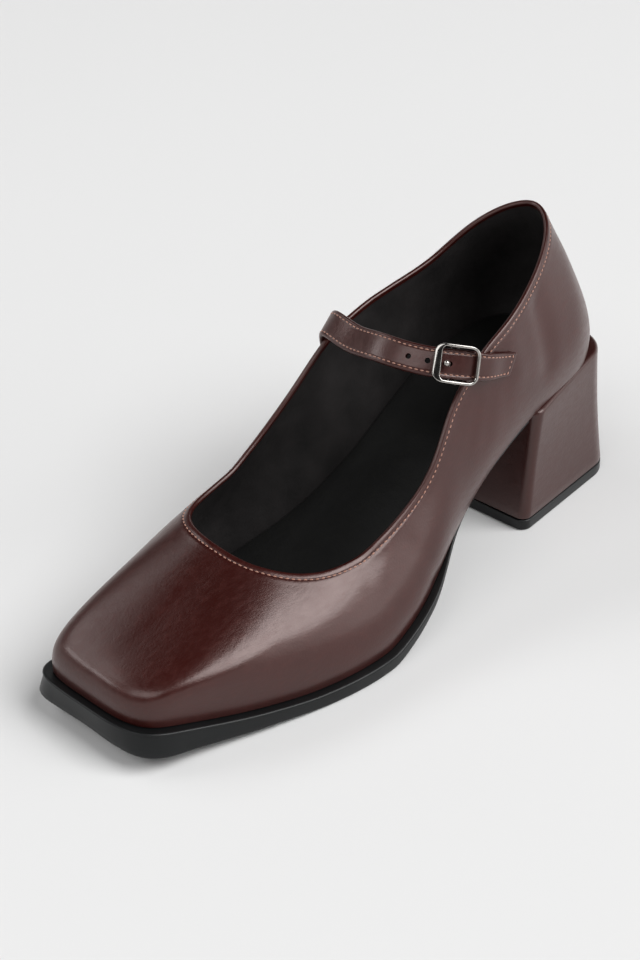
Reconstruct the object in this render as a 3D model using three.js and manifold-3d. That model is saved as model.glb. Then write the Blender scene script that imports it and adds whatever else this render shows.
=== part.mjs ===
// A left mary jane shoe with a square toe, an instep strap and a covered block heel.
// Millimetres, +Z up, toe towards -Y, outer (little toe) side towards +X, standing on z = 0.
import * as THREE from "three";
import { mergeVertices } from "three/addons/utils/BufferGeometryUtils.js";
import Module from "manifold-3d";

// Driving sizes of the last
const LAST_LENGTH = 239;
const BALL_WIDTH = 82;
const HEEL_HEIGHT = 54.5; // floor to the back of the heel seat
const BACK_HEIGHT = 57.5; // heel seat to the topline at the back
const TOE_SPRING = 10;

// Driving sizes of the pieces
const UPPER_WALL = 1.9;
const FOREPART_THICKNESS = 6;
const TOE_THICKNESS = 9.2;
const WAIST_THICKNESS = 3.5;
const SOLE_FLANGE = 3.2; // the outsole's ledge past the upper, from toe to ball
const SOLE_TUCK = 1; // how far the outsole hides under the upper at the waist
const SOLE_LIP = 1; // height of the fine lip along the ledge
const SOLE_LIP_STEP = 0.45; // the lip past the side below it
const SOLE_EDGE_ROUND = 0.9;
const INSOLE_THICKNESS = 2.4;
// The heel at its foot and top: ends along the last, widths at the front and back, round back corners
const HEEL_FOOT = { back: -5.5, front: 55.5, wide: 61, narrow: 55, round: 13 };
const HEEL_TOP = { back: -6, front: 49.5, wide: 61, narrow: 45, round: 15 };
const HEEL_FRONT_ROUND = 4;
const HEEL_ROLL = 1.6; // rounding of the cover's top edge
const LIFT_THICKNESS = 4.5;
const LIFT_BEVEL = 0.8;
const STRAP_WIDTH = 10.5;
const STRAP_TAIL_WIDTH = 8.4;
const STRAP_THICKNESS = 1.9;
const STRAP_BEVEL = 0.4;
const STRAP_SLANT = 0.35; // the tail's slanted end, along per across
const HOLE_DIAMETER = 2;
const HOLE_SPACING = 6.6;
const BUCKLE_LENGTH = 15.6;
const BUCKLE_WIDTH = 14;
const BUCKLE_BAR = 1.5;
const BUCKLE_BROAD = 1.4; // how much broader the bar on the strap's side is
const BUCKLE_DEPTH = 2.1;
const BUCKLE_ROUND = 3.6;
const BUCKLE_BACK = 3.6; // the centre bar's distance before its row of the strap
const BUCKLE_CENTRE_BAR = 1.6;
const PRONG_DIAMETER = 1.4;
const PRONG_BALL = 2.3;
const PRONG_BALL_AT = -3.4; // along the strap from the centre bar
const PRONG_HOLE_AT = -2.9;
const TAB_WIDTH = 8.4;
const TAB_THICKNESS = 1;
const TAB_REACH = 12.5;
const GAP = 0.3; // between pieces that touch

// The last's bottom from the side: shares of the heel's lift and of the toe spring
const BOTTOM_LINE = [
  { along: -0.03, lift: 1.01, spring: 0 },
  { along: 0, lift: 1, spring: 0 },
  { along: 0.1, lift: 0.96, spring: 0 },
  { along: 0.2, lift: 0.895, spring: 0 },
  { along: 0.3, lift: 0.745, spring: 0 },
  { along: 0.4, lift: 0.46, spring: 0 },
  { along: 0.5, lift: 0.185, spring: 0 },
  { along: 0.57, lift: 0.055, spring: 0 },
  { along: 0.62, lift: 0, spring: 0 },
  { along: 0.69, lift: 0, spring: 0 },
  { along: 0.74, lift: 0, spring: 0.02 },
  { along: 0.82, lift: 0, spring: 0.22 },
  { along: 0.9, lift: 0, spring: 0.52 },
  { along: 1, lift: 0, spring: 1 },
  { along: 1.03, lift: 0, spring: 1.16 },
];

// Sections of the upper, from the heel round the outer side, the toe and the inner side.
// along is a share of LAST_LENGTH from the heel, across a share of BALL_WIDTH, outer side positive;
// the foot is on the bottom line and the rim stands up shares of BACK_HEIGHT above it.
// flare leans the wall outwards going up from the foot and tuck going down from the rim, in degrees
// from upright; low and high are the reach of each lean as shares of the line from foot to rim;
// crisp above 1 squares the bend between the two.
const SECTIONS = [
  [-0.005, -0.012, 0.05, -0.025, 1.01, 12, 0.4, 26, 0.3, 1],
  [0.001, 0.138, 0.073, 0.1, 0.985, 12, 0.4, 24, 0.3, 1],
  [0.033, 0.266, 0.121, 0.195, 0.909, 12, 0.4, 20, 0.3, 1],
  [0.113, 0.33, 0.192, 0.27, 0.82, 12, 0.38, 14, 0.32, 1],
  [0.22, 0.352, 0.26, 0.31, 0.79, 13, 0.36, 10, 0.33, 1],
  [0.318, 0.37, 0.33, 0.318, 0.792, 15, 0.36, 10, 0.33, 1],
  [0.406, 0.395, 0.392, 0.328, 0.75, 16, 0.36, 12, 0.33, 1],
  [0.49, 0.46, 0.452, 0.366, 0.635, 16, 0.36, 18, 0.33, 1],
  [0.577, 0.51, 0.536, 0.375, 0.588, 15, 0.36, 30, 0.35, 1.05],
  [0.66, 0.512, 0.611, 0.355, 0.567, 13, 0.36, 44, 0.4, 1.15],
  [0.762, 0.448, 0.67, 0.305, 0.561, 9, 0.33, 56, 0.48, 1.3],
  [0.866, 0.35, 0.71, 0.22, 0.588, 5, 0.27, 66, 0.6, 1.6],
  [0.94, 0.264, 0.731, 0.146, 0.62, 3, 0.22, 71, 0.7, 2],
  [0.978, 0.205, 0.74, 0.094, 0.636, 2, 0.2, 73, 0.74, 2.2],
  [0.994, 0.115, 0.746, 0.04, 0.652, 2, 0.19, 73, 0.76, 2.2],
  [0.998, -0.07, 0.749, -0.045, 0.669, 2, 0.19, 73, 0.76, 2.2],
  [0.996, -0.26, 0.749, -0.13, 0.685, 2, 0.19, 73, 0.76, 2.2],
  [0.984, -0.35, 0.745, -0.2, 0.69, 2, 0.2, 73, 0.7, 2.1],
  [0.947, -0.38, 0.736, -0.268, 0.69, 3, 0.18, 71, 0.46, 1.8],
  [0.87, -0.41, 0.711, -0.345, 0.685, 4, 0.22, 57, 0.29, 1.3],
  [0.77, -0.462, 0.665, -0.382, 0.69, 7, 0.25, 43, 0.24, 1.05],
  [0.678, -0.488, 0.607, -0.396, 0.718, 10, 0.32, 34, 0.27, 1],
  [0.586, -0.458, 0.536, -0.4, 0.78, 12, 0.35, 20, 0.33, 1],
  [0.49, -0.38, 0.456, -0.388, 0.862, 13, 0.36, 12, 0.33, 1],
  [0.406, -0.325, 0.397, -0.372, 0.905, 14, 0.36, 8, 0.33, 1],
  [0.318, -0.305, 0.335, -0.36, 0.838, 14, 0.36, 5, 0.33, 1],
  [0.22, -0.33, 0.26, -0.34, 0.765, 12, 0.36, 8, 0.33, 1],
  [0.113, -0.34, 0.184, -0.298, 0.775, 11, 0.38, 14, 0.32, 1],
  [0.033, -0.285, 0.117, -0.234, 0.895, 12, 0.4, 20, 0.3, 1],
  [0.001, -0.16, 0.071, -0.134, 0.985, 12, 0.4, 24, 0.3, 1],
].map(([along, across, rimAlong, rimAcross, up, flare, low, tuck, high, crisp]) => (
  { along, across, rimAlong, rimAcross, up, flare, low, tuck, high, crisp }
));
const SAMPLES_PER_SECTION = 3;
const SAMPLES_UP = 14;

// The outsole's side from its bottom edge up: inset from the outline and height,
// as shares of the edge rounding below and of the lip above
const EDGE_BELOW = [
  { inset: 1, height: 0 },
  { inset: 0.3, height: 0.25 },
  { inset: 0, height: 1 },
];
// The outsole's bottom is squarer than its lip at the toe's corners, by shares of SOLE_FLANGE,
// spread round rows of SECTIONS
const TOE_CORNERS = [
  { row: 13, reach: 0.94, wide: 1.2 },
  { row: 17, reach: 0.81, wide: 1.2 },
];

// The strap from its seat on the inner quarter over the instep to its tail on the outer quarter.
// Middle of the strap: across as a share of BALL_WIDTH, along of LAST_LENGTH, rise of BACK_HEIGHT
// above the bottom line; it faces turn degrees from the toe towards the outer side and tilt degrees
// above level. A row with side lies on the skin of that side of the upper, standing off it by a
// share of STRAP_THICKNESS, and its across is worked out.
const STRAP_PATH = [
  { across: 0, along: 0.3766, rise: 0.6314, turn: -88, tilt: 4, side: -1, stand: 0.526 },
  { across: 0, along: 0.382, rise: 0.8021, turn: -86, tilt: 8, side: -1, stand: 0.526 },
  { across: -0.3817, along: 0.3941, rise: 0.9683, turn: -64, tilt: 27, side: 0, stand: 0 },
  { across: -0.2073, along: 0.4121, rise: 1.0429, turn: -24, tilt: 42, side: 0, stand: 0 },
  { across: -0.0488, along: 0.4205, rise: 1.0964, turn: 2, tilt: 44, side: 0, stand: 0 },
  { across: 0.1098, along: 0.4163, rise: 1.0913, turn: 26, tilt: 42, side: 0, stand: 0 },
  { across: 0.2317, along: 0.3954, rise: 1.0184, turn: 50, tilt: 34, side: 0, stand: 0 },
  { across: 0.3134, along: 0.364, rise: 0.9008, turn: 70, tilt: 22, side: 0, stand: 0 },
  { across: 0, along: 0.3326, rise: 0.775, turn: 82, tilt: 13, side: 1, stand: 1.053 },
  { across: 0, along: 0.2971, rise: 0.6468, turn: 88, tilt: 9, side: 1, stand: 0.263 },
  { across: 0, along: 0.2745, rise: 0.5818, turn: 90, tilt: 8, side: 1, stand: 0.158 },
];
const STRAP_STATIONS = 54;
const BUCKLE_AT = 7; // the row of STRAP_PATH by the buckle's centre bar
const STRAP_SKIN_GAP = 0.35;

const leather = { colour: 0x3a1210, roughness: 0.22, metalness: 0 };
const rubber = { colour: 0x2b2c2d, roughness: 0.6, metalness: 0 };
const lining = { colour: 0x141313, roughness: 0.7, metalness: 0 };
const nickel = { colour: 0x8d8b88, roughness: 0.22, metalness: 1 };

const wasm = await Module();
wasm.setup();

const rad = THREE.MathUtils.degToRad;
const mix = THREE.MathUtils.lerp;
const ease = THREE.MathUtils.smoothstep;
const vec = (x, y, z) => new THREE.Vector3(x, y, z);

// Second derivatives of a cubic spline through ys at ts; a closed one has a period.
function bend(ts, ys, period) {
  const n = ts.length;
  const at = (i) => (period ? (i + n) % n : i);
  const step = (i) => (i < n - 1 ? ts[i + 1] - ts[i] : period - ts[n - 1] + ts[0]);
  const m = new Array(n).fill(0);
  const first = period ? 0 : 1;
  const last = period ? n : n - 1;
  for (let pass = 0; pass < 60; pass++)
    for (let i = first; i < last; i++) {
      const a = at(i - 1);
      const b = at(i + 1);
      const h = step(a);
      const k = step(i);
      const jump = 6 * ((ys[b] - ys[i]) / k - (ys[i] - ys[a]) / h);
      m[i] = (jump - h * m[a] - k * m[b]) / (2 * (h + k));
    }
  return m;
}

// Value at t, between knot i and the next, of the spline with second derivatives m.
function along(ts, ys, m, period, i, t) {
  const j = period ? (i + 1) % ts.length : i + 1;
  const h = i < ts.length - 1 ? ts[i + 1] - ts[i] : period - ts[i] + ts[0];
  const b = t / h;
  const a = 1 - b;
  return a * ys[i] + b * ys[j] + (((a ** 3 - a) * m[i] + (b ** 3 - b) * m[j]) * h * h) / 6;
}

// Value at x of a smooth curve through rows that keeps flats flat and never overshoots.
function steady(rows, key, x) {
  const slope = (i) => (rows[i + 1][key] - rows[i][key]) / (rows[i + 1].along - rows[i].along);
  let i = 0;
  while (i < rows.length - 2 && x > rows[i + 1].along) i++;
  const tangent = (k) => {
    if (k === 0) return slope(0);
    if (k === rows.length - 1) return slope(k - 1);
    const a = slope(k - 1);
    const b = slope(k);
    return a * b <= 0 ? 0 : (2 * a * b) / (a + b);
  };
  const h = rows[i + 1].along - rows[i].along;
  const t = (x - rows[i].along) / h;
  const s = 1 - t;
  return (
    rows[i][key] * (1 + 2 * t) * s * s +
    rows[i + 1][key] * (3 - 2 * t) * t * t +
    h * t * s * (tangent(i) * s - tangent(i + 1) * t)
  );
}

// Height of the feather line over the floor, s millimetres from the heel.
function bottom(s) {
  const share = s / LAST_LENGTH;
  const lift = steady(BOTTOM_LINE, "lift", share);
  const spring = steady(BOTTOM_LINE, "spring", share);
  return FOREPART_THICKNESS + lift * (HEEL_HEIGHT - FOREPART_THICKNESS) + spring * TOE_SPRING;
}

function soleThickness(s) {
  const share = s / LAST_LENGTH;
  const forepart = mix(FOREPART_THICKNESS, TOE_THICKNESS, ease(share, 0.75, 1)) - GAP;
  return mix(WAIST_THICKNESS, forepart, ease(share, 0.42, 0.62));
}
const soleLedge = (s) => mix(-SOLE_TUCK, SOLE_FLANGE, ease(s / LAST_LENGTH, 0.36, 0.52));

// The sections' columns as closed splines, spaced by the mean step of foot and rim
const COLUMNS = ["along", "across", "rimAlong", "rimAcross", "up", "flare", "low", "tuck", "high", "crisp"];
const knots = [0];
SECTIONS.forEach((a, i) => {
  const b = SECTIONS[(i + 1) % SECTIONS.length];
  const foot = Math.hypot((b.along - a.along) * LAST_LENGTH, (b.across - a.across) * BALL_WIDTH);
  const rim = Math.hypot((b.rimAlong - a.rimAlong) * LAST_LENGTH, (b.rimAcross - a.rimAcross) * BALL_WIDTH);
  knots.push(knots[i] + (foot + rim) / 2);
});
const PERIOD = knots.pop();
const splines = COLUMNS.map((key) => {
  const values = SECTIONS.map((row) => row[key]);
  return { key, values, m: bend(knots, values, PERIOD) };
});

// The section at u, counted in rows of the table, with its points in millimetres.
function section(u) {
  const n = SECTIONS.length;
  const at = ((u % n) + n) % n;
  const i = Math.min(Math.floor(at), n - 1);
  const h = (i < n - 1 ? knots[i + 1] : PERIOD) - knots[i];
  const row = {};
  for (const { key, values, m } of splines)
    row[key] = along(knots, values, m, PERIOD, i, (at - i) * h);
  const s = row.along * LAST_LENGTH;
  const t = row.rimAlong * LAST_LENGTH;
  row.foot = vec(row.across * BALL_WIDTH, -s, bottom(s));
  row.rim = vec(row.rimAcross * BALL_WIDTH, -t, bottom(t) + row.up * BACK_HEIGHT);
  return row;
}

// Level direction out of the loop of feet or rims at u.
function outOf(u, key) {
  const a = section(u - 0.05)[key];
  const b = section(u + 0.05)[key];
  return vec(a.y - b.y, b.x - a.x, 0).normalize();
}

// Ribs are kept, as each is asked for many times
const ribs = new Map();
function rib(u) {
  if (ribs.has(u)) return ribs.get(u);
  const row = section(u);
  const reach = row.foot.distanceTo(row.rim);
  const out = outOf(u, "foot");
  const away = outOf(u, "rim");
  const low = row.foot
    .clone()
    .addScaledVector(out, Math.sin(rad(row.flare)) * row.low * reach)
    .add(vec(0, 0, Math.cos(rad(row.flare)) * row.low * reach));
  const high = row.rim
    .clone()
    .addScaledVector(away, Math.sin(rad(row.tuck)) * row.high * reach)
    .sub(vec(0, 0, Math.cos(rad(row.tuck)) * row.high * reach));
  const made = { points: [row.foot, low, high, row.rim], weights: [1, row.crisp, row.crisp, 1] };
  ribs.set(u, made);
  return made;
}

// Outer skin of the upper: u in rows round it, v from 0 at the feather line to 1 at the topline.
function skin(u, v) {
  const { points, weights } = rib(u);
  const w = 1 - v;
  const shares = [w ** 3, 3 * v * w * w, 3 * v * v * w, v ** 3].map((b, i) => b * weights[i]);
  const sum = shares.reduce((a, b) => a + b);
  const p = vec(0, 0, 0);
  shares.forEach((share, i) => p.addScaledVector(points[i], share / sum));
  return p;
}

function skinNormal(u, v) {
  const e = 0.02;
  const round = skin(u + e, v).sub(skin(u - e, v));
  const up = skin(u, Math.min(v + e, 1)).sub(skin(u, Math.max(v - e, 0)));
  return up.cross(round).normalize();
}

// How far across the skin of one side stands, s millimetres along and at height z.
function skinAcross(side, s, z) {
  const n = SECTIONS.length;
  let best = null;
  let from = side > 0 ? 2 : n - 2;
  let to = side > 0 ? 10 : n - 10;
  let v = 0.5;
  for (let pass = 0; pass < 3; pass++) {
    const steps = 40;
    for (let i = 0; i <= steps; i++)
      for (let k = 0; k <= steps; k++) {
        const u = mix(from, to, i / steps);
        const w = pass ? v + ((k / steps - 0.5) * 2) / 20 ** pass : k / steps;
        const p = skin(u, w);
        const miss = Math.hypot(p.y + s, p.z - z);
        if (!best || miss < best.miss) best = { miss, u, v: w, across: p.x };
      }
    const span = Math.abs(to - from) / 20;
    from = best.u - span;
    to = best.u + span;
    v = best.v;
  }
  return best.across;
}

// A closed body from points and faces, turned so that its faces look out
class Body {
  constructor() {
    this.points = [];
    this.faces = [];
  }
  ring(points) {
    const start = this.points.length;
    this.points.push(...points);
    return points.map((_, i) => start + i);
  }
  face(...corners) {
    for (let i = 1; i < corners.length - 1; i++) {
      const three = [corners[0], corners[i], corners[i + 1]];
      if (new Set(three).size === 3) this.faces.push(three);
    }
  }
  // A band of faces between two rings, closed round or open.
  band(a, b, closed = true) {
    const n = a.length;
    for (let i = 0; i < (closed ? n : n - 1); i++) {
      const j = (i + 1) % n;
      this.face(a[i], a[j], b[j], b[i]);
    }
  }
  // A lid over a ring whose first and middle points are its tips, point against point across it.
  lid(ring, flip) {
    const n = ring.length;
    for (let i = 0; i < n / 2; i++) {
      const corners = [ring[i], ring[i + 1], ring[n - i - 1], ring[(n - i) % n]];
      this.face(...(flip ? corners.reverse() : corners));
    }
  }
  geometry() {
    let volume = 0;
    for (const [a, b, c] of this.faces)
      volume += this.points[a].dot(this.points[b].clone().cross(this.points[c]));
    const made = new THREE.BufferGeometry();
    const xyz = this.points.flatMap((p) => [p.x, p.y, p.z]);
    made.setAttribute("position", new THREE.Float32BufferAttribute(xyz, 3));
    made.setIndex(this.faces.flatMap((f) => (volume < 0 ? [...f].reverse() : f)));
    return made;
  }
}

function solid(geometry) {
  const merged = mergeVertices(geometry.clone().deleteAttribute("normal").deleteAttribute("uv"), 1e-4);
  return new wasm.Manifold(
    new wasm.Mesh({
      numProp: 3,
      vertProperties: merged.attributes.position.array,
      triVerts: new Uint32Array(merged.index.array),
    }),
  );
}

function geometryOf(made) {
  const mesh = made.getMesh();
  const back = new THREE.BufferGeometry();
  back.setAttribute("position", new THREE.Float32BufferAttribute(mesh.vertProperties, 3));
  back.setIndex([...mesh.triVerts]);
  return back;
}

function box(lo, hi) {
  const size = lo.map((low, i) => hi[i] - low);
  return solid(new THREE.BoxGeometry(...size)).translate(lo.map((low, i) => low + size[i] / 2));
}

// The upper: one wall between the outer skin and the same skin set in by the wall
const ROUND = SECTIONS.length * SAMPLES_PER_SECTION;
const roundAt = (j) => j / SAMPLES_PER_SECTION;

function innerSkin(u, v) {
  const p = skin(u, v).addScaledVector(skinNormal(u, v), -UPPER_WALL);
  if (v === 0) p.z = bottom(-p.y);
  return p;
}

function makeUpper() {
  const body = new Body();
  const outer = [];
  const inner = [];
  for (let k = 0; k <= SAMPLES_UP; k++) {
    const v = k / SAMPLES_UP;
    const us = Array.from({ length: ROUND }, (_, j) => roundAt(j));
    outer.push(body.ring(us.map((u) => skin(u, v))));
    inner.push(body.ring(us.map((u) => innerSkin(u, v))));
  }
  for (let k = 0; k < SAMPLES_UP; k++) {
    body.band(outer[k], outer[k + 1]);
    body.band(inner[k + 1], inner[k]);
  }
  body.band(outer[SAMPLES_UP], inner[SAMPLES_UP]);
  body.band(inner[0], outer[0]);
  return body.geometry();
}

// The feather line moved out (or in) by a distance that may change along the last
function featherRing(move, height, square = 0) {
  return Array.from({ length: ROUND }, (_, j) => {
    const u = roundAt(j);
    const p = section(u).foot;
    const spread = TOE_CORNERS.map(({ row, reach, wide }) => reach * Math.exp(-(((u - row) / wide) ** 2)));
    const squarer = square * SOLE_FLANGE * (spread[0] + spread[1]);
    const by = (typeof move === "function" ? move(-p.y) : move) + squarer;
    p.addScaledVector(outOf(u, "foot"), by);
    p.z = height(-p.y);
    return p;
  });
}

function makeOutsole() {
  const body = new Body();
  const top = (s) => bottom(s) - GAP;
  const rows = EDGE_BELOW.map(({ inset, height }) => ({
    square: 1,
    inset: inset * SOLE_EDGE_ROUND + SOLE_LIP_STEP,
    z: (s) => top(s) - soleThickness(s) + height * SOLE_EDGE_ROUND,
  }));
  rows.push({ inset: SOLE_LIP_STEP, z: (s) => top(s) - SOLE_LIP });
  rows.push({ inset: 0, z: (s) => top(s) - SOLE_LIP + SOLE_LIP_STEP / 2 });
  rows.push({ inset: 0, z: (s) => top(s) - SOLE_LIP_STEP / 2 });
  rows.push({ inset: SOLE_LIP_STEP / 2, z: top });
  const rings = rows.map(({ inset, z, square = 0.15 }) =>
    body.ring(featherRing((s) => soleLedge(s) - inset, z, square)),
  );
  rings.slice(1).forEach((ring, i) => body.band(rings[i], ring));
  body.lid(rings[0], true);
  body.lid(rings.at(-1), false);
  const breast = -(HEEL_TOP.front + 4 * GAP);
  const keep = box([-BALL_WIDTH, -2 * LAST_LENGTH, -HEEL_HEIGHT], [BALL_WIDTH, breast, 2 * HEEL_HEIGHT]);
  return geometryOf(solid(body.geometry()).intersect(keep));
}

function makeInsole() {
  const body = new Body();
  const inset = -(UPPER_WALL + 2 * GAP);
  const low = featherRing(inset, (s) => bottom(s));
  const high = featherRing(inset, (s) => bottom(s) + INSOLE_THICKNESS - 0.6);
  const round = featherRing(inset - 0.6, (s) => bottom(s) + INSOLE_THICKNESS);
  const rings = [low, high, round].map((points) => body.ring(points));
  body.band(rings[0], rings[1]);
  body.band(rings[1], rings[2]);
  body.lid(rings[0], true);
  body.lid(rings[2], false);
  return body.geometry();
}

// Outline of the heel from above, set in by inset: rounded corners, tips on its middle line.
// share runs from 0 at the foot of the heel to 1 at its top.
function heelOutline(share, inset, height) {
  const size = (key) => mix(HEEL_FOOT[key], HEEL_TOP[key], share);
  const back = size("back") + inset;
  const front = size("front") - inset;
  const narrow = size("narrow") / 2 - inset;
  const wide = size("wide") / 2 - inset;
  const taper = Math.atan2(wide - narrow, front - back);
  const side = [];
  // An arc from the direction it leaves, in degrees, that touches both lines of a corner
  const corner = (s, x, round, from, to) => {
    const half = rad(180 - Math.abs(to - from)) / 2;
    const middle = rad((from + to) / 2);
    const deep = round / Math.sin(half);
    const cs = s - deep * Math.cos(middle);
    const cx = x - deep * Math.sin(middle);
    for (let i = 0; i <= 5; i++) {
      const a = rad(mix(from, to, i / 5));
      side.push([cs + round * Math.cos(a), cx + round * Math.sin(a)]);
    }
  };
  const lean = 90 + THREE.MathUtils.radToDeg(taper);
  corner(back, narrow, size("round") - inset, 180, lean);
  corner(front, wide, HEEL_FRONT_ROUND - inset, lean, 0);
  const outline = [[back, 0], ...side, [front, 0], ...side.map(([s, x]) => [s, -x]).reverse()];
  return outline.map(([s, x]) => vec(x, -s, height(s)));
}

function makeHeelBlock() {
  const body = new Body();
  const low = LIFT_THICKNESS + GAP;
  const rows = [
    { share: 0, inset: 0, down: null },
    { share: 0.35, inset: 0.5, down: null },
    { share: 0.7, inset: 0.5, down: null },
    { share: 1, inset: 0, down: HEEL_ROLL },
    { share: 1, inset: 0.3 * HEEL_ROLL, down: 0.3 * HEEL_ROLL },
    { share: 1, inset: HEEL_ROLL, down: 0 },
  ];
  const height = ({ share, down }) => (s) => {
    const top = bottom(s) - GAP;
    return down === null ? mix(low, top - HEEL_ROLL, share) : top - down;
  };
  const rings = rows.map((row) => body.ring(heelOutline(row.share, row.inset, height(row))));
  rings.slice(1).forEach((ring, i) => body.band(rings[i], ring));
  body.lid(rings[0], true);
  body.lid(rings.at(-1), false);
  return body.geometry();
}

function makeHeelLift() {
  const body = new Body();
  const rows = [
    { inset: LIFT_BEVEL, z: 0 },
    { inset: 0, z: LIFT_BEVEL },
    { inset: 0, z: LIFT_THICKNESS },
  ];
  const rings = rows.map(({ inset, z }) => body.ring(heelOutline(0, inset, () => z)));
  rings.slice(1).forEach((ring, i) => body.band(rings[i], ring));
  body.lid(rings[0], true);
  body.lid(rings.at(-1), false);
  return body.geometry();
}

// The strap's middle line and face, as open splines over the table
const strapRows = STRAP_PATH.map((row) => {
  const face = vec(
    Math.sin(rad(row.turn)) * Math.cos(rad(row.tilt)),
    -Math.cos(rad(row.turn)) * Math.cos(rad(row.tilt)),
    Math.sin(rad(row.tilt)),
  );
  const s = row.along * LAST_LENGTH;
  const z = bottom(s) + row.rise * BACK_HEIGHT;
  const stand = STRAP_SKIN_GAP + (row.stand + 0.5) * STRAP_THICKNESS;
  const across = row.side
    ? skinAcross(row.side, s, z) + row.side * stand
    : row.across * BALL_WIDTH;
  return { x: across, y: -s, z, a: face.x, b: face.y, c: face.z };
});
const strapKnots = [0];
strapRows.slice(1).forEach((p, i) => {
  const q = strapRows[i];
  strapKnots.push(strapKnots[i] + Math.hypot(p.x - q.x, p.y - q.y, p.z - q.z));
});
const strapSplines = ["x", "y", "z", "a", "b", "c"].map((key) => {
  const values = strapRows.map((row) => row[key]);
  return { values, m: bend(strapKnots, values, 0) };
});
const STRAP_LENGTH = strapKnots.at(-1);
const BUCKLE_MIDDLE = strapKnots[BUCKLE_AT] - BUCKLE_BACK;

function strapAt(d) {
  const t = THREE.MathUtils.clamp(d, 0, STRAP_LENGTH);
  let i = 0;
  while (i < strapKnots.length - 2 && t > strapKnots[i + 1]) i++;
  const [x, y, z, a, b, c] = strapSplines.map(({ values, m }) =>
    along(strapKnots, values, m, 0, i, t - strapKnots[i]),
  );
  return { middle: vec(x, y, z), face: vec(a, b, c) };
}

// Axes at d millimetres along the strap: ahead, over (across its width, uphill) and face.
// Past its ends the strap goes on straight.
function strapFrame(d) {
  const t = THREE.MathUtils.clamp(d, 0, STRAP_LENGTH);
  const { middle, face } = strapAt(t);
  const ahead = strapAt(Math.min(t + 0.5, STRAP_LENGTH))
    .middle.sub(strapAt(Math.max(t - 0.5, 0)).middle)
    .normalize();
  middle.addScaledVector(ahead, d - t);
  face.addScaledVector(ahead, -face.dot(ahead)).normalize();
  return { middle, ahead, face, over: face.clone().cross(ahead) };
}

function makeStrap() {
  const body = new Body();
  const w = STRAP_WIDTH / 2;
  const t = STRAP_THICKNESS / 2;
  const b = STRAP_BEVEL;
  const outline = [
    [-w, t - b],
    [-w + b, t],
    [w - b, t],
    [w, t - b],
    [w, b - t],
    [w - b, -t],
    [b - w, -t],
    [-w, b - t],
  ];
  let before = null;
  let first = null;
  for (let k = 0; k <= STRAP_STATIONS; k++) {
    const d = (k / STRAP_STATIONS) * STRAP_LENGTH;
    const slant = STRAP_SLANT * ease(d, STRAP_LENGTH - 14, STRAP_LENGTH);
    const taper = mix(1, STRAP_TAIL_WIDTH / STRAP_WIDTH, ease(d, BUCKLE_MIDDLE, STRAP_LENGTH));
    const ring = body.ring(
      outline.map(([share, out]) => {
        const across = share * taper;
        const { middle, over, face } = strapFrame(d + across * slant);
        return middle.addScaledVector(over, across).addScaledVector(face, out);
      }),
    );
    if (before) body.band(before, ring);
    else first = ring;
    before = ring;
  }
  body.face(...[...first].reverse());
  body.face(...before);
  const holes = [0, 1, 2].map((k) => hole(PRONG_HOLE_AT - k * HOLE_SPACING, HOLE_DIAMETER / 2));
  holes.push(hole(PRONG_HOLE_AT + 0.9, HOLE_DIAMETER / 2));
  return geometryOf(holes.reduce((made, cut) => made.subtract(cut), solid(body.geometry())));
}

// A point by the buckle: ahead of its centre bar along the strap, over across it and out from it.
function byBuckle(ahead, over, out) {
  const at = strapFrame(BUCKLE_MIDDLE + ahead);
  return at.middle.addScaledVector(at.over, over).addScaledVector(at.face, out);
}

// A body swept along frames, each a point with two directions, with an outline of pairs
function sweep(frames, outline, closed) {
  const body = new Body();
  const rings = frames.map(({ at, side, out, scale = 1 }) =>
    body.ring(
      outline.map(([a, b]) => at.clone().addScaledVector(side, a * scale).addScaledVector(out, b * scale)),
    ),
  );
  rings.slice(1).forEach((ring, i) => body.band(rings[i], ring));
  if (closed) body.band(rings.at(-1), rings[0]);
  else {
    body.face(...[...rings[0]].reverse());
    body.face(...rings.at(-1));
  }
  return solid(body.geometry());
}

const circle = (radius, n = 8) =>
  Array.from({ length: n }, (_, i) => {
    const a = ((i + 0.5) / n) * 2 * Math.PI;
    return [radius * Math.cos(a), radius * Math.sin(a)];
  });

function block(wide, high, bevel) {
  const [w, h] = [wide / 2, high / 2];
  return [
    [w - bevel, -h],
    [w, bevel - h],
    [w, h - bevel],
    [w - bevel, h],
    [bevel - w, h],
    [-w, h - bevel],
    [-w, bevel - h],
    [bevel - w, -h],
  ];
}

// A round hole through the strap
function hole(ahead, radius) {
  const { ahead: side, over: out, face } = strapFrame(BUCKLE_MIDDLE + ahead);
  const frames = [-3, 3].map((h) => ({ at: byBuckle(ahead, 0, 0).addScaledVector(face, h), side, out }));
  return sweep(frames, circle(radius, 12));
}

// Frames along a path drawn in the plane of the strap's length and thickness, at its middle
function pathFrames(points) {
  const line = points.map(([a, h]) => byBuckle(a, 0, h));
  return line.map((at, i) => {
    const side = strapFrame(BUCKLE_MIDDLE + points[i][0]).over;
    const step = line[Math.min(i + 1, line.length - 1)].clone().sub(line[Math.max(i - 1, 0)]);
    return { at, side, out: side.clone().cross(step).normalize() };
  });
}

function arc(middle, radius, from, to, n) {
  return Array.from({ length: n + 1 }, (_, i) => {
    const a = rad(mix(from, to, i / n));
    return [radius * Math.cos(a), middle + radius * Math.sin(a)];
  });
}

const BAR_OUT =
  -(STRAP_THICKNESS / 2 + 1.5 * GAP + PRONG_DIAMETER + GAP + BUCKLE_CENTRE_BAR / 2);

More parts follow.
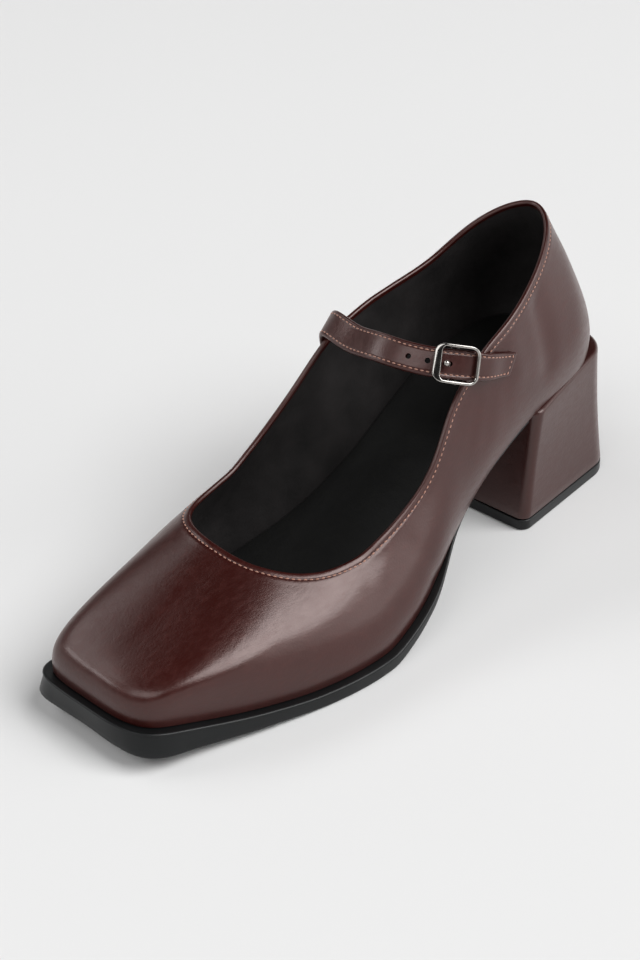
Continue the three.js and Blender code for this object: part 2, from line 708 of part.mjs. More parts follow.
function makeBuckleFrame() {
  const long = (BUCKLE_LENGTH - BUCKLE_BAR) / 2;
  const wide = (BUCKLE_WIDTH - BUCKLE_BAR) / 2;
  const round = BUCKLE_ROUND - BUCKLE_BAR / 2;
  const out = STRAP_THICKNESS / 2 + GAP + BUCKLE_DEPTH / 2;
  const loop = [];
  const quarter = (a, o, from) => {
    for (let i = 0; i <= 4; i++) loop.push({ a, o, turn: rad(from + (i * 90) / 4) });
  };
  quarter(long - round, wide - round, 0);
  loop.push({ a: 0, o: wide - round, turn: rad(90) });
  quarter(round - long, wide - round, 90);
  quarter(round - long, round - wide, 180);
  loop.push({ a: 0, o: round - wide, turn: rad(270) });
  quarter(long - round, round - wide, 270);
  const body = new Body();
  const rings = loop.map(({ a, o, turn }) => {
    const [ca, co] = [Math.cos(turn), Math.sin(turn)];
    const broad = BUCKLE_BROAD * Math.max(0, -ca);
    return body.ring(
      block(BUCKLE_BAR, BUCKLE_DEPTH, 0.5).map(([s, h]) => {
        const reach = round + (s < 0 ? s - broad : s);
        return byBuckle(a + reach * ca, o + reach * co, out + h);
      }),
    );
  });
  rings.forEach((ring, i) => body.band(ring, rings[(i + 1) % rings.length]));
  const turns = [
    [-wide, out],
    [-wide, BAR_OUT + 0.8],
    [0.8 - wide, BAR_OUT],
    [wide - 0.8, BAR_OUT],
    [wide, BAR_OUT + 0.8],
    [wide, out],
  ];
  const line = turns.map(([o, h]) => byBuckle(0, o, h));
  const side = strapFrame(BUCKLE_MIDDLE).ahead;
  const frames = line.map((at, i) => {
    const step = line[Math.min(i + 1, line.length - 1)].clone().sub(line[Math.max(i - 1, 0)]);
    return { at, side, out: step.cross(side).normalize() };
  });
  const bar = sweep(frames, circle(BUCKLE_CENTRE_BAR / 2));
  return geometryOf(solid(body.geometry()).add(bar));
}

// The prong's way from its hook to its ball: shares of the ball's place ahead and height
const PRONG_RISE = [
  { ahead: 0.32, rise: 0.02 },
  { ahead: 0.53, rise: 0.18 },
  { ahead: 0.62, rise: 0.38 },
  { ahead: 0.7, rise: 0.78 },
  { ahead: 0.91, rise: 1 },
];

// The prong hooks round the centre bar, comes up through the strap and ends in a ball
function makeProng() {
  const r = PRONG_DIAMETER / 2;
  const reach = BUCKLE_CENTRE_BAR / 2 + GAP + r;
  const ballOut = STRAP_THICKNESS / 2 + GAP + PRONG_BALL / 2;
  const points = [
    ...arc(BAR_OUT, reach, -110, 95, 10),
    ...PRONG_RISE.map(({ ahead, rise }) => [
      ahead * PRONG_BALL_AT,
      mix(BAR_OUT + reach, ballOut, rise),
    ]),
  ];
  const rod = sweep(pathFrames(points), circle(r));
  const ball = solid(new THREE.SphereGeometry(PRONG_BALL / 2, 16, 10)).translate(
    byBuckle(PRONG_BALL_AT, 0, ballOut).toArray(),
  );
  return geometryOf(rod.add(ball));
}

// The tab holds the centre bar: it lies on the quarter under the strap, turns round the bar
// and leaves the prong room in a slot
function makeTab() {
  const reach = BUCKLE_CENTRE_BAR / 2 + 1.4 * GAP + TAB_THICKNESS / 2;
  const under = -(STRAP_THICKNESS / 2 + GAP + TAB_THICKNESS / 2);
  const points = [
    [TAB_REACH, under],
    [4 * reach, under],
    [2.7 * reach, under],
    [1.4 * reach, mix(under, BAR_OUT + reach, 0.55)],
    ...arc(BAR_OUT, reach, 80, 300, 11),
  ];
  const strip = sweep(pathFrames(points), block(TAB_WIDTH, TAB_THICKNESS, 0.2));
  const slot = sweep(
    [-1, 1].map((k) => ({
      at: byBuckle((k < 0 ? -1.75 : 1.5) * reach, 0, BAR_OUT),
      side: strapFrame(BUCKLE_MIDDLE).over,
      out: strapFrame(BUCKLE_MIDDLE).face,
    })),
    block(PRONG_DIAMETER + 4 * GAP, 8, 0.2),
  );
  return geometryOf(strip.subtract(slot));
}

const upper = makeUpper();
const meshes = [
  ["upper", upper, leather],
  ["outsole", makeOutsole(), rubber],
  ["insole", makeInsole(), lining],
  ["heel_block", makeHeelBlock(), leather],
  ["heel_lift", makeHeelLift(), rubber],
  ["strap", makeStrap(), leather],
  ["buckle_frame", makeBuckleFrame(), nickel],
  ["buckle_prong", makeProng(), nickel],
  ["buckle_tab", makeTab(), lining],
];

const shoe = new THREE.Group();
for (const [name, geometry, { colour, roughness, metalness }] of meshes) {
  const material = new THREE.MeshStandardMaterial({ color: colour, roughness, metalness });
  const mesh = new THREE.Mesh(geometry, material);
  mesh.name = name;
  shoe.add(mesh);
}

// The origin is on the floor, in the middle of the shoe's length and width
const bounds = new THREE.Box3().setFromObject(shoe);
const middle = bounds.getCenter(vec(0, 0, 0));
shoe.children.forEach((mesh) => mesh.geometry.translate(-middle.x, -middle.y, -bounds.min.z));

export default shoe;
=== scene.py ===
# Looks of a left mary jane shoe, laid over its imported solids.
# Shapes are worked out in the last's own millimetres (x across, y = minus the distance from
# the heel towards the toe, z up) and turned into the frame's metres at the end.
import math

import bmesh
import bpy
import numpy as np
from mathutils import Matrix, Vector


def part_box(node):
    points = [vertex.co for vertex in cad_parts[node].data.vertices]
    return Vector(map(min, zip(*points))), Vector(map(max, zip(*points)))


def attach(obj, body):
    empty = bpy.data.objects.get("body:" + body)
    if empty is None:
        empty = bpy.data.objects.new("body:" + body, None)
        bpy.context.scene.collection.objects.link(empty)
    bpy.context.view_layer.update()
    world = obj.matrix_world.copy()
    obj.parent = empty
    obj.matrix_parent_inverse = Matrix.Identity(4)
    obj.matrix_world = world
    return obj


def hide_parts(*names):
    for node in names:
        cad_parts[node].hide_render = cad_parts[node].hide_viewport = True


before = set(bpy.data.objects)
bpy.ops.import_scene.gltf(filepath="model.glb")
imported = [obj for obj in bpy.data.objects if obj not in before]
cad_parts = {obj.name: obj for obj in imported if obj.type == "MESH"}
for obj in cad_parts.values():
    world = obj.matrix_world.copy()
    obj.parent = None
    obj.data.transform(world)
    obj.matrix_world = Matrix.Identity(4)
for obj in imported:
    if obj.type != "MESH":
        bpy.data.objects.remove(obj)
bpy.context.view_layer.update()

# Driving sizes of the last and the pieces, as in the part's source
LAST_LENGTH = 239
BALL_WIDTH = 82
HEEL_HEIGHT = 54.5
BACK_HEIGHT = 57.5
TOE_SPRING = 10
UPPER_WALL = 1.9
FOREPART_THICKNESS = 6
TOE_THICKNESS = 9.2
WAIST_THICKNESS = 3.5
SOLE_FLANGE = 3.2
SOLE_TUCK = 1
SOLE_LIP = 1
SOLE_LIP_STEP = 0.45
SOLE_EDGE_ROUND = 0.9
INSOLE_THICKNESS = 2.4
HEEL_FOOT = dict(back=-5.5, front=55.5, wide=61, narrow=55, round=13)
HEEL_TOP = dict(back=-6, front=49.5, wide=61, narrow=45, round=15)
HEEL_FRONT_ROUND = 4
HEEL_ROLL = 1.6
LIFT_THICKNESS = 4.5
LIFT_BEVEL = 0.8
STRAP_WIDTH = 10.5
STRAP_TAIL_WIDTH = 8.4
STRAP_THICKNESS = 1.9
STRAP_SLANT = 0.35
STRAP_SKIN_GAP = 0.35
HOLE_DIAMETER = 2
HOLE_SPACING = 6.6
BUCKLE_AT = 7
BUCKLE_BACK = 3.6
BUCKLE_LENGTH = 15.6
BUCKLE_WIDTH = 14
BUCKLE_BAR = 1.5
BUCKLE_BROAD = 1.4
BUCKLE_DEPTH = 2.1
BUCKLE_ROUND = 3.6
BUCKLE_CENTRE_BAR = 1.6
PRONG_DIAMETER = 1.4
PRONG_BALL = 2.3
PRONG_BALL_AT = -3.4
PRONG_HOLE_AT = -2.9
GAP = 0.3

# Sizes of what only shows up close
STITCH_PITCH = 2.05
STITCH_LENGTH = 1.25
THREAD = 0.46
TOPLINE_SEAM = 1.9  # from the folded edge to the seam
STRAP_SEAM = 1.5
RAIL = 1.15  # width of the bow's polished rails
FOLD_PUFF = 0.08  # how proud the folded edge stands of the leather behind its seam
SEAM_DEPTH = 0.13

BOTTOM_LINE = dict(
    along=[-0.03, 0, 0.1, 0.2, 0.3, 0.4, 0.5, 0.57, 0.62, 0.69, 0.74, 0.82, 0.9, 1, 1.03],
    lift=[1.01, 1, 0.96, 0.895, 0.745, 0.46, 0.185, 0.055, 0, 0, 0, 0, 0, 0, 0],
    spring=[0, 0, 0, 0, 0, 0, 0, 0, 0, 0, 0.02, 0.22, 0.52, 1, 1.16],
)

# Sections of the upper, from the heel round the outer side, the toe and the inner side
SECTION_COLUMNS = ["along", "across", "rim_along", "rim_across", "up", "flare", "low", "tuck", "high", "crisp"]
SECTIONS = [
    (-0.005, -0.012, 0.05, -0.025, 1.01, 12, 0.4, 26, 0.3, 1),
    (0.001, 0.138, 0.073, 0.1, 0.985, 12, 0.4, 24, 0.3, 1),
    (0.033, 0.266, 0.121, 0.195, 0.909, 12, 0.4, 20, 0.3, 1),
    (0.113, 0.33, 0.192, 0.27, 0.82, 12, 0.38, 14, 0.32, 1),
    (0.22, 0.352, 0.26, 0.31, 0.79, 13, 0.36, 10, 0.33, 1),
    (0.318, 0.37, 0.33, 0.318, 0.792, 15, 0.36, 10, 0.33, 1),
    (0.406, 0.395, 0.392, 0.328, 0.75, 16, 0.36, 12, 0.33, 1),
    (0.49, 0.46, 0.452, 0.366, 0.635, 16, 0.36, 18, 0.33, 1),
    (0.577, 0.51, 0.536, 0.375, 0.588, 15, 0.36, 30, 0.35, 1.05),
    (0.66, 0.512, 0.611, 0.355, 0.567, 13, 0.36, 44, 0.4, 1.15),
    (0.762, 0.448, 0.67, 0.305, 0.561, 9, 0.33, 56, 0.48, 1.3),
    (0.866, 0.35, 0.71, 0.22, 0.588, 5, 0.27, 66, 0.6, 1.6),
    (0.94, 0.264, 0.731, 0.146, 0.62, 3, 0.22, 71, 0.7, 2),
    (0.978, 0.205, 0.74, 0.094, 0.636, 2, 0.2, 73, 0.74, 2.2),
    (0.994, 0.115, 0.746, 0.04, 0.652, 2, 0.19, 73, 0.76, 2.2),
    (0.998, -0.07, 0.749, -0.045, 0.669, 2, 0.19, 73, 0.76, 2.2),
    (0.996, -0.26, 0.749, -0.13, 0.685, 2, 0.19, 73, 0.76, 2.2),
    (0.984, -0.35, 0.745, -0.2, 0.69, 2, 0.2, 73, 0.7, 2.1),
    (0.947, -0.38, 0.736, -0.268, 0.69, 3, 0.18, 71, 0.46, 1.8),
    (0.87, -0.41, 0.711, -0.345, 0.685, 4, 0.22, 57, 0.29, 1.3),
    (0.77, -0.462, 0.665, -0.382, 0.69, 7, 0.25, 43, 0.24, 1.05),
    (0.678, -0.488, 0.607, -0.396, 0.718, 10, 0.32, 34, 0.27, 1),
    (0.586, -0.458, 0.536, -0.4, 0.78, 12, 0.35, 20, 0.33, 1),
    (0.49, -0.38, 0.456, -0.388, 0.862, 13, 0.36, 12, 0.33, 1),
    (0.406, -0.325, 0.397, -0.372, 0.905, 14, 0.36, 8, 0.33, 1),
    (0.318, -0.305, 0.335, -0.36, 0.838, 14, 0.36, 5, 0.33, 1),
    (0.22, -0.33, 0.26, -0.34, 0.765, 12, 0.36, 8, 0.33, 1),
    (0.113, -0.34, 0.184, -0.298, 0.775, 11, 0.38, 14, 0.32, 1),
    (0.033, -0.285, 0.117, -0.234, 0.895, 12, 0.4, 20, 0.3, 1),
    (0.001, -0.16, 0.071, -0.134, 0.985, 12, 0.4, 24, 0.3, 1),
]

# Middle of the strap from its seat on the inner quarter to its tail, as in the part's source
STRAP_COLUMNS = ["across", "along", "rise", "turn", "tilt", "side", "stand"]
STRAP_PATH = [
    (0, 0.3766, 0.6314, -88, 4, -1, 0.526),
    (0, 0.382, 0.8021, -86, 8, -1, 0.526),
    (-0.3817, 0.3941, 0.9683, -64, 27, 0, 0),
    (-0.2073, 0.4121, 1.0429, -24, 42, 0, 0),
    (-0.0488, 0.4205, 1.0964, 2, 44, 0, 0),
    (0.1098, 0.4163, 1.0913, 26, 42, 0, 0),
    (0.2317, 0.3954, 1.0184, 50, 34, 0, 0),
    (0.3134, 0.364, 0.9008, 70, 22, 0, 0),
    (0, 0.3326, 0.775, 82, 13, 1, 1.053),
    (0, 0.2971, 0.6468, 88, 9, 1, 0.263),
    (0, 0.2745, 0.5818, 90, 8, 1, 0.158),
]

TOE_CORNERS = [(13, 0.94, 1.2), (17, 0.81, 1.2)]  # row of SECTIONS, share of SOLE_FLANGE, spread in rows

# The heel stands even about the last's middle line, and its back end is a known size,
# so these give the place of the last in the frame
heel_low, heel_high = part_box("heel_block")
PLACE = np.array([(heel_low[0] + heel_high[0]) * 500, heel_high[1] * 1000 + HEEL_TOP["back"], 0])


def to_frame(points):
    return (np.asarray(points, float) + PLACE) / 1000


def ease(x, low, high):
    t = np.clip((np.asarray(x, float) - low) / (high - low), 0, 1)
    return t * t * (3 - 2 * t)


def mix(a, b, t):
    return a + (b - a) * t


def unit(v):
    return v / np.linalg.norm(v, axis=-1, keepdims=True)


def bump_at(x, middle, width):
    return np.exp(-(((x - middle) / width) ** 2))


class Spline:
    """Cubic spline through rows at knots, closed if it has a period."""

    def __init__(self, knots, rows, period=0):
        self.knots, self.rows, self.period = np.array(knots, float), np.array(rows, float), period
        n = len(self.knots)
        self.steps = np.append(np.diff(self.knots), period - self.knots[-1] if period else 1)
        system, right = np.eye(n), np.zeros((n, self.rows.shape[1]))
        for i in range(n) if period else range(1, n - 1):
            a, b = (i - 1) % n, (i + 1) % n
            h, k = self.steps[a], self.steps[i]
            system[i] = 0
            system[i, a], system[i, i], system[i, b] = h, 2 * (h + k), k
            right[i] = 6 * ((self.rows[b] - self.rows[i]) / k - (self.rows[i] - self.rows[a]) / h)
        self.bends = np.linalg.solve(system, right)

    def at(self, i, t):
        h = self.steps[i][..., None]
        j = (i + 1) % len(self.knots)
        b = t[..., None] / h
        a = 1 - b
        curve = (a**3 - a) * self.bends[i] + (b**3 - b) * self.bends[j]
        return a * self.rows[i] + b * self.rows[j] + curve * h * h / 6


def steady(xs, ys, x):
    """Smooth curve through a few rows that keeps flats flat and never overshoots."""
    xs, ys, x = np.array(xs, float), np.array(ys, float), np.asarray(x, float)
    slopes = np.diff(ys) / np.diff(xs)
    a, b = slopes[:-1], slopes[1:]
    inner = np.where(a * b > 0, 2 * a * b / np.where(a + b == 0, 1, a + b), 0)
    tangents = np.concatenate([[slopes[0]], inner, [slopes[-1]]])
    i = np.clip(np.searchsorted(xs, x, side="right") - 1, 0, len(xs) - 2)
    h = xs[i + 1] - xs[i]
    t = (x - xs[i]) / h
    s = 1 - t
    ends = ys[i] * (1 + 2 * t) * s * s + ys[i + 1] * (3 - 2 * t) * t * t
    return ends + h * t * s * (tangents[i] * s - tangents[i + 1] * t)


def bottom(s):
    share = np.asarray(s, float) / LAST_LENGTH
    lift = steady(BOTTOM_LINE["along"], BOTTOM_LINE["lift"], share)
    spring = steady(BOTTOM_LINE["along"], BOTTOM_LINE["spring"], share)
    return FOREPART_THICKNESS + lift * (HEEL_HEIGHT - FOREPART_THICKNESS) + spring * TOE_SPRING


def sole_thickness(s):
    share = s / LAST_LENGTH
    forepart = mix(FOREPART_THICKNESS, TOE_THICKNESS, ease(share, 0.75, 1)) - GAP
    return mix(WAIST_THICKNESS, forepart, ease(share, 0.42, 0.62))


def sole_ledge(s):
    return mix(-SOLE_TUCK, SOLE_FLANGE, ease(s / LAST_LENGTH, 0.36, 0.52))


# The upper's skin
rows = np.array(SECTIONS, float)
ROWS = len(rows)
ahead = np.roll(rows, -1, axis=0) - rows
foot_steps = np.hypot(ahead[:, 0] * LAST_LENGTH, ahead[:, 1] * BALL_WIDTH)
rim_steps = np.hypot(ahead[:, 2] * LAST_LENGTH, ahead[:, 3] * BALL_WIDTH)
row_knots = np.concatenate([[0], np.cumsum((foot_steps + rim_steps) / 2)])
section_spline = Spline(row_knots[:-1], rows, row_knots[-1])


def section(u):
    """Section of the upper at u: its columns, with its foot and rim as points."""
    at = np.mod(u, ROWS)
    i = np.minimum(at.astype(int), ROWS - 1)
    values = section_spline.at(i, (at - i) * section_spline.steps[i])
    row = dict(zip(SECTION_COLUMNS, np.moveaxis(values, -1, 0)))
    s, t = row["along"] * LAST_LENGTH, row["rim_along"] * LAST_LENGTH
    row["foot"] = np.stack([row["across"] * BALL_WIDTH, -s, bottom(s)], -1)
    row["rim"] = np.stack([row["rim_across"] * BALL_WIDTH, -t, bottom(t) + row["up"] * BACK_HEIGHT], -1)
    return row


def out_of(u, key):
    """Level direction out of the foot line or the rim."""
    a, b = section(u - 0.05)[key], section(u + 0.05)[key]
    return unit(np.stack([a[..., 1] - b[..., 1], b[..., 0] - a[..., 0], 0 * a[..., 0]], -1))


def skin(u, v):
    """Outer skin of the upper: u in rows round it, v from the feather line to the topline."""
    row = section(u)
    reach = np.linalg.norm(row["foot"] - row["rim"], axis=-1)
    flare, tuck = np.radians(row["flare"]), np.radians(row["tuck"])

    def lean(direction, angle, share, sign):
        rise = np.stack([0 * angle, 0 * angle, sign * np.cos(angle)], -1)
        return (direction * np.sin(angle)[..., None] + rise) * (share * reach)[..., None]

    low = row["foot"] + lean(out_of(u, "foot"), flare, row["low"], 1)
    high = row["rim"] + lean(out_of(u, "rim"), tuck, row["high"], -1)
    w = 1 - v
    shares = [w**3, 3 * v * w * w * row["crisp"], 3 * v * v * w * row["crisp"], v**3]
    points = [row["foot"], low, high, row["rim"]]
    total = sum(shares)
    return sum(p * (k / total)[..., None] for p, k in zip(points, shares))


def skin_normal(u, v, e=0.02):
    along = skin(u + e, v) - skin(u - e, v)
    up = skin(u, np.minimum(v + e, 1)) - skin(u, np.maximum(v - e, 0))
    return unit(np.cross(up, along))


def below_rim(u, distance):
    """v of the points a distance in millimetres below the topline."""
    row = section(u)
    reach = np.linalg.norm(row["foot"] - row["rim"], axis=-1)
    return 1 - distance / (3 * row["crisp"] * row["high"] * reach)


# Meshes
def make_piece(name, points, faces, materials, face_slots=None, sharp=35):
    mesh = bpy.data.meshes.new(name)
    mesh.from_pydata([tuple(p) for p in to_frame(points)], [], [tuple(map(int, f)) for f in faces])
    piece = bpy.data.objects.new(name, mesh)
    bpy.context.collection.objects.link(piece)
    for material in materials:
        mesh.materials.append(material)
    if face_slots is not None:
        mesh.polygons.foreach_set("material_index", np.asarray(face_slots, np.int32))
    finish_mesh(mesh, sharp)
    return piece


def finish_mesh(mesh, sharp=35):
    work = bmesh.new()
    work.from_mesh(mesh)
    bmesh.ops.recalc_face_normals(work, faces=work.faces)
    work.to_mesh(mesh)
    work.free()
    mesh.polygons.foreach_set("use_smooth", np.ones(len(mesh.polygons), bool))
    mesh.set_sharp_from_angle(angle=math.radians(sharp))


def grid_faces(rings, columns, closed=False):
    """Faces between rings of points, and from the last ring to the first if they close."""
    faces = []
    for i in range(rings if closed else rings - 1):
        k = (i + 1) % rings
        for j in range(columns):
            l = (j + 1) % columns
            faces.append((i * columns + j, i * columns + l, k * columns + l, k * columns + j))
    return faces


def closed_tube(rings, columns):
    """Faces of a tube of rings with one flat face over each end."""
    last = (rings - 1) * columns
    return grid_faces(rings, columns) + [tuple(range(columns)), tuple(range(last, last + columns))]


def lid_faces(start, n):
    """Faces over a ring whose first and middle points are its tips."""
    faces = []
    for i in range(n // 2):
        corners = [start + i, start + i + 1, start + n - i - 1, start + (n - i) % n]
        faces.append(tuple(dict.fromkeys(corners)))
    return [f for f in faces if len(f) > 2]


def dress(piece, slot, *nodes):
    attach(piece, "root")
    if nodes:
        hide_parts(*nodes)
    return piece


# Materials
def linear(hex_colour):
    parts = [int(hex_colour[i : i + 2], 16) / 255 for i in (1, 3, 5)]
    return [c / 12.92 if c <= 0.04045 else ((c + 0.055) / 1.055) ** 2.4 for c in parts] + [1]


def add_node(tree, kind, settings=None, **inputs):
    """One node with its settings; an input is a value or another node's output socket."""
    made = tree.nodes.new(kind)
    for key, value in (settings or {}).items():
        setattr(made, key, value)
    for key, value in inputs.items():
        name = key.replace("_", " ")
        socket = made.inputs[int(key[1:])] if key[0] == "i" and key[1:].isdigit() else made.inputs[name]
        if isinstance(value, bpy.types.NodeSocket):
            tree.links.new(value, socket)
        else:
            socket.default_value = value
    return made


def new_material(name):
    material = bpy.data.materials.new(name)
    material.use_nodes = True
    tree = material.node_tree
    tree.nodes.clear()
    place = add_node(tree, "ShaderNodeNewGeometry").outputs["Position"]
    return material, tree, place


def per_metre(millimetres):
    """Texture scale that gives a pattern its real size."""
    return 1000 / millimetres


def close_material(tree, shader):
    add_node(tree, "ShaderNodeOutputMaterial", Surface=shader.outputs["BSDF"])


def polished_calf_leather(name, colour, deep, light):
    """Brushed-off calf: dark oxblood dye under a soft polished finish, so its own colour shows
    only where nothing bright is mirrored, with fine pores and short brush streaks in the shine."""
    material, tree, place = new_material(name)
    cloud = add_node(tree, "ShaderNodeTexNoise", Vector=place, Scale=per_metre(38), Detail=2.0)
    shade = add_node(
        tree, "ShaderNodeMix", {"data_type": "RGBA"}, i0=cloud.outputs["Fac"], i6=linear(deep), i7=linear(colour)
    )
    brushed = add_node(tree, "ShaderNodeMapping", {"vector_type": "POINT"}, Vector=place, Scale=(1, 0.35, 1))
    streak = add_node(
        tree, "ShaderNodeTexNoise",
        Vector=brushed.outputs["Vector"], Scale=per_metre(1.7), Detail=3.0, Roughness=0.6,
    )
    fleck = add_node(
        tree, "ShaderNodeMapRange", Value=streak.outputs["Fac"], From_Min=0.5, From_Max=0.75, To_Max=0.16
    )
    dye = add_node(
        tree, "ShaderNodeMix", {"data_type": "RGBA"}, i0=fleck.outputs[0], i6=shade.outputs[2], i7=linear(light)
    )
    pores = add_node(tree, "ShaderNodeTexVoronoi", Vector=place, Scale=per_metre(0.7))
    pore_bump = add_node(
        tree, "ShaderNodeBump", Strength=0.25, Distance=0.00008, Height=pores.outputs["Distance"]
    )
    brush_bump = add_node(
        tree, "ShaderNodeBump", Strength=0.3, Distance=0.00025,
        Height=streak.outputs["Fac"], Normal=pore_bump.outputs["Normal"],
    )
    rough = add_node(
        tree, "ShaderNodeMapRange",
        Value=streak.outputs["Fac"], From_Min=0.3, From_Max=0.7, To_Min=0.28, To_Max=0.39,
    )
    shader = add_node(
        tree, "ShaderNodeBsdfPrincipled", Base_Color=dye.outputs[2], Roughness=rough.outputs[0], IOR=1.56,
        Normal=brush_bump.outputs["Normal"], Coat_Weight=0.34, Coat_Roughness=0.21, Coat_IOR=1.5,
        Coat_Tint=linear("#f4dfdb"), Specular_Tint=linear("#f6e2de"),
    )
    close_material(tree, shader)
    return material


def matt_lining_leather(name, colour, worn):
    """Aniline pigskin lining, black and dry, with clustered pores."""
    material, tree, place = new_material(name)
    grain = add_node(tree, "ShaderNodeTexVoronoi", Vector=place, Scale=per_metre(1.1))
    cloud = add_node(tree, "ShaderNodeTexNoise", Vector=place, Scale=per_metre(14), Detail=5.0)
    dye = add_node(
        tree, "ShaderNodeMix", {"data_type": "RGBA"}, i0=cloud.outputs["Fac"], i6=linear(colour), i7=linear(worn)
    )
    pores = add_node(tree, "ShaderNodeBump", Strength=0.3, Distance=0.0001, Height=grain.outputs["Distance"])
    bump = add_node(
        tree, "ShaderNodeBump", Strength=0.6, Distance=0.0012,
        Height=cloud.outputs["Fac"], Normal=pores.outputs["Normal"],
    )
    shader = add_node(
        tree, "ShaderNodeBsdfPrincipled", Base_Color=dye.outputs[2], Roughness=0.6, IOR=1.4,
        Normal=bump.outputs["Normal"], Specular_IOR_Level=0.35,
    )
    close_material(tree, shader)
    return material


def moulded_rubber(name, colour, bloom):
    """Compression-moulded rubber: charcoal, satin, with a faint grey bloom and a fine mould grain."""
    material, tree, place = new_material(name)
    cloud = add_node(tree, "ShaderNodeTexNoise", Vector=place, Scale=per_metre(18), Detail=6.0)
    dust = add_node(tree, "ShaderNodeMapRange", Value=cloud.outputs["Fac"], From_Min=0.45, From_Max=0.8, To_Max=0.5)
    dye = add_node(
        tree, "ShaderNodeMix", {"data_type": "RGBA"}, i0=dust.outputs[0], i6=linear(colour), i7=linear(bloom)
    )
    grain = add_node(tree, "ShaderNodeTexNoise", Vector=place, Scale=per_metre(0.6), Detail=3.0)
    bump = add_node(tree, "ShaderNodeBump", Strength=0.25, Distance=0.00008, Height=grain.outputs["Fac"])
    shader = add_node(
        tree, "ShaderNodeBsdfPrincipled", Base_Color=dye.outputs[2], Roughness=0.36, IOR=1.5, Specular_IOR_Level=0.3,
        Normal=bump.outputs["Normal"],
    )
    close_material(tree, shader)
    return material


def polished_nickel(name, colour):
    """Nickel plate on cast zinc, tumbled bright, with the faintest ripple of the casting."""
    material, tree, place = new_material(name)
    ripple = add_node(tree, "ShaderNodeTexNoise", Vector=place, Scale=per_metre(2.2), Detail=2.0)
    bump = add_node(tree, "ShaderNodeBump", Strength=0.2, Distance=0.00008, Height=ripple.outputs["Fac"])
    haze = add_node(tree, "ShaderNodeMapRange", Value=ripple.outputs["Fac"], To_Min=0.1, To_Max=0.2)
    shader = add_node(
        tree, "ShaderNodeBsdfPrincipled", Base_Color=linear(colour), Metallic=1.0,
        Roughness=haze.outputs[0], Normal=bump.outputs["Normal"],
    )
    close_material(tree, shader)
    return material


def waxed_thread(name, colour, dark):
    """Three-ply polyester thread: the plies show as a fine twill along each stitch."""
    material, tree, place = new_material(name)
    ply = add_node(tree, "ShaderNodeTexNoise", Vector=place, Scale=per_metre(0.35), Detail=2.0)
    dye = add_node(
        tree, "ShaderNodeMix", {"data_type": "RGBA"}, i0=ply.outputs["Fac"], i6=linear(dark), i7=linear(colour)
    )
    bump = add_node(tree, "ShaderNodeBump", Strength=0.4, Distance=0.00005, Height=ply.outputs["Fac"])
    shader = add_node(
        tree, "ShaderNodeBsdfPrincipled", Base_Color=dye.outputs[2], Roughness=0.5, IOR=1.5,
        Normal=bump.outputs["Normal"], Sheen_Weight=0.3,
    )
    close_material(tree, shader)
    return material


oxblood_calf = polished_calf_leather("oxblood_calf_leather", "#360f0b", "#270906", "#541c16")
heel_calf = polished_calf_leather("heel_cover_leather", "#34120f", "#280c0a", "#48201b")
black_lining = matt_lining_leather("black_lining_leather", "#101010", "#343131")
sock_leather = matt_lining_leather("black_sock_leather", "#0c0c0c", "#161615")
charcoal_rubber = moulded_rubber("charcoal_rubber", "#0c0e0f", "#17191a")
lift_rubber = moulded_rubber("lift_rubber", "#101112", "#1a1c1e")
nickel = polished_nickel("polished_nickel", "#a9a6a2")
rose_thread = waxed_thread("rose_tan_thread", "#bb8e7b", "#8a5a4a")

# Upper
PER_ROW = 14  # points round the upper from one row of SECTIONS to the next
ROUND = ROWS * PER_ROW
U = np.arange(ROUND) / PER_ROW


def fold_relief(distance):
    """How proud the skin stands near the topline: a puffed fold, a seam drawn in, then soft leather."""
    fold = FOLD_PUFF * ease(distance, 0, 0.5) * (1 - ease(distance, TOPLINE_SEAM - 0.7, TOPLINE_SEAM))
    behind = 0.05 * bump_at(distance, TOPLINE_SEAM + 1.3, 0.8)
    return fold + behind - SEAM_DEPTH * bump_at(distance, TOPLINE_SEAM, 0.35)


# Soft troughs (below zero) and ridges in the leather, from one end to the other in the last's
# millimetres, with half their width and their height
CREASES = [
    ((21.7, -43.4, 97), (28.3, -42.5, 68), 5.5, -1.0),  # hollow down the outer counter
    ((26.2, -63.5, 87), (28.9, -60.4, 73), 6, 0.65),  # swell beside it, behind the strap
    ((14.5, -14.3, 94.6), (27, -21.6, 69.4), 7, 0.4),  # swell round the back
    ((28.8, -83, 71), (31, -90, 58), 2.6, -0.12),  # pull from the strap's seam
    ((28.4, -76, 71), (31, -82, 55), 3, -0.14),
    ((29, -69, 68), (31, -70, 54), 3, -0.1),
    ((34, -128, 36), (40, -118, 20), 4, -0.3),  # where the outer vamp flexes
    ((33, -140, 31), (40.5, -132, 17), 4, 0.2),
    ((-36, -128, 44), (-39, -116, 24), 4, -0.3),  # and the inner one
    ((-22, -38, 92), (-28, -37, 70), 4.5, -0.5),  # inner counter
    ((-24, -24, 88), (-25, -23, 66), 4.5, 0.3),
    ((-30, -88, 72), (-27.5, -84, 56), 2.4, -0.25),  # pull below the strap's seat
]


def soft_creases(points):
    """How far the creases lift each point of the skin."""
    relief = np.zeros(len(points))
    for start, end, wide, high in CREASES:
        a, way = np.array(start, float), np.subtract(end, start).astype(float)
        t = np.clip(((points - a) @ way) / (way @ way), 0, 1)
        off = np.linalg.norm(points - a - t[:, None] * way, axis=1)
        relief += high * np.exp(-((off / wide) ** 2))
    return relief


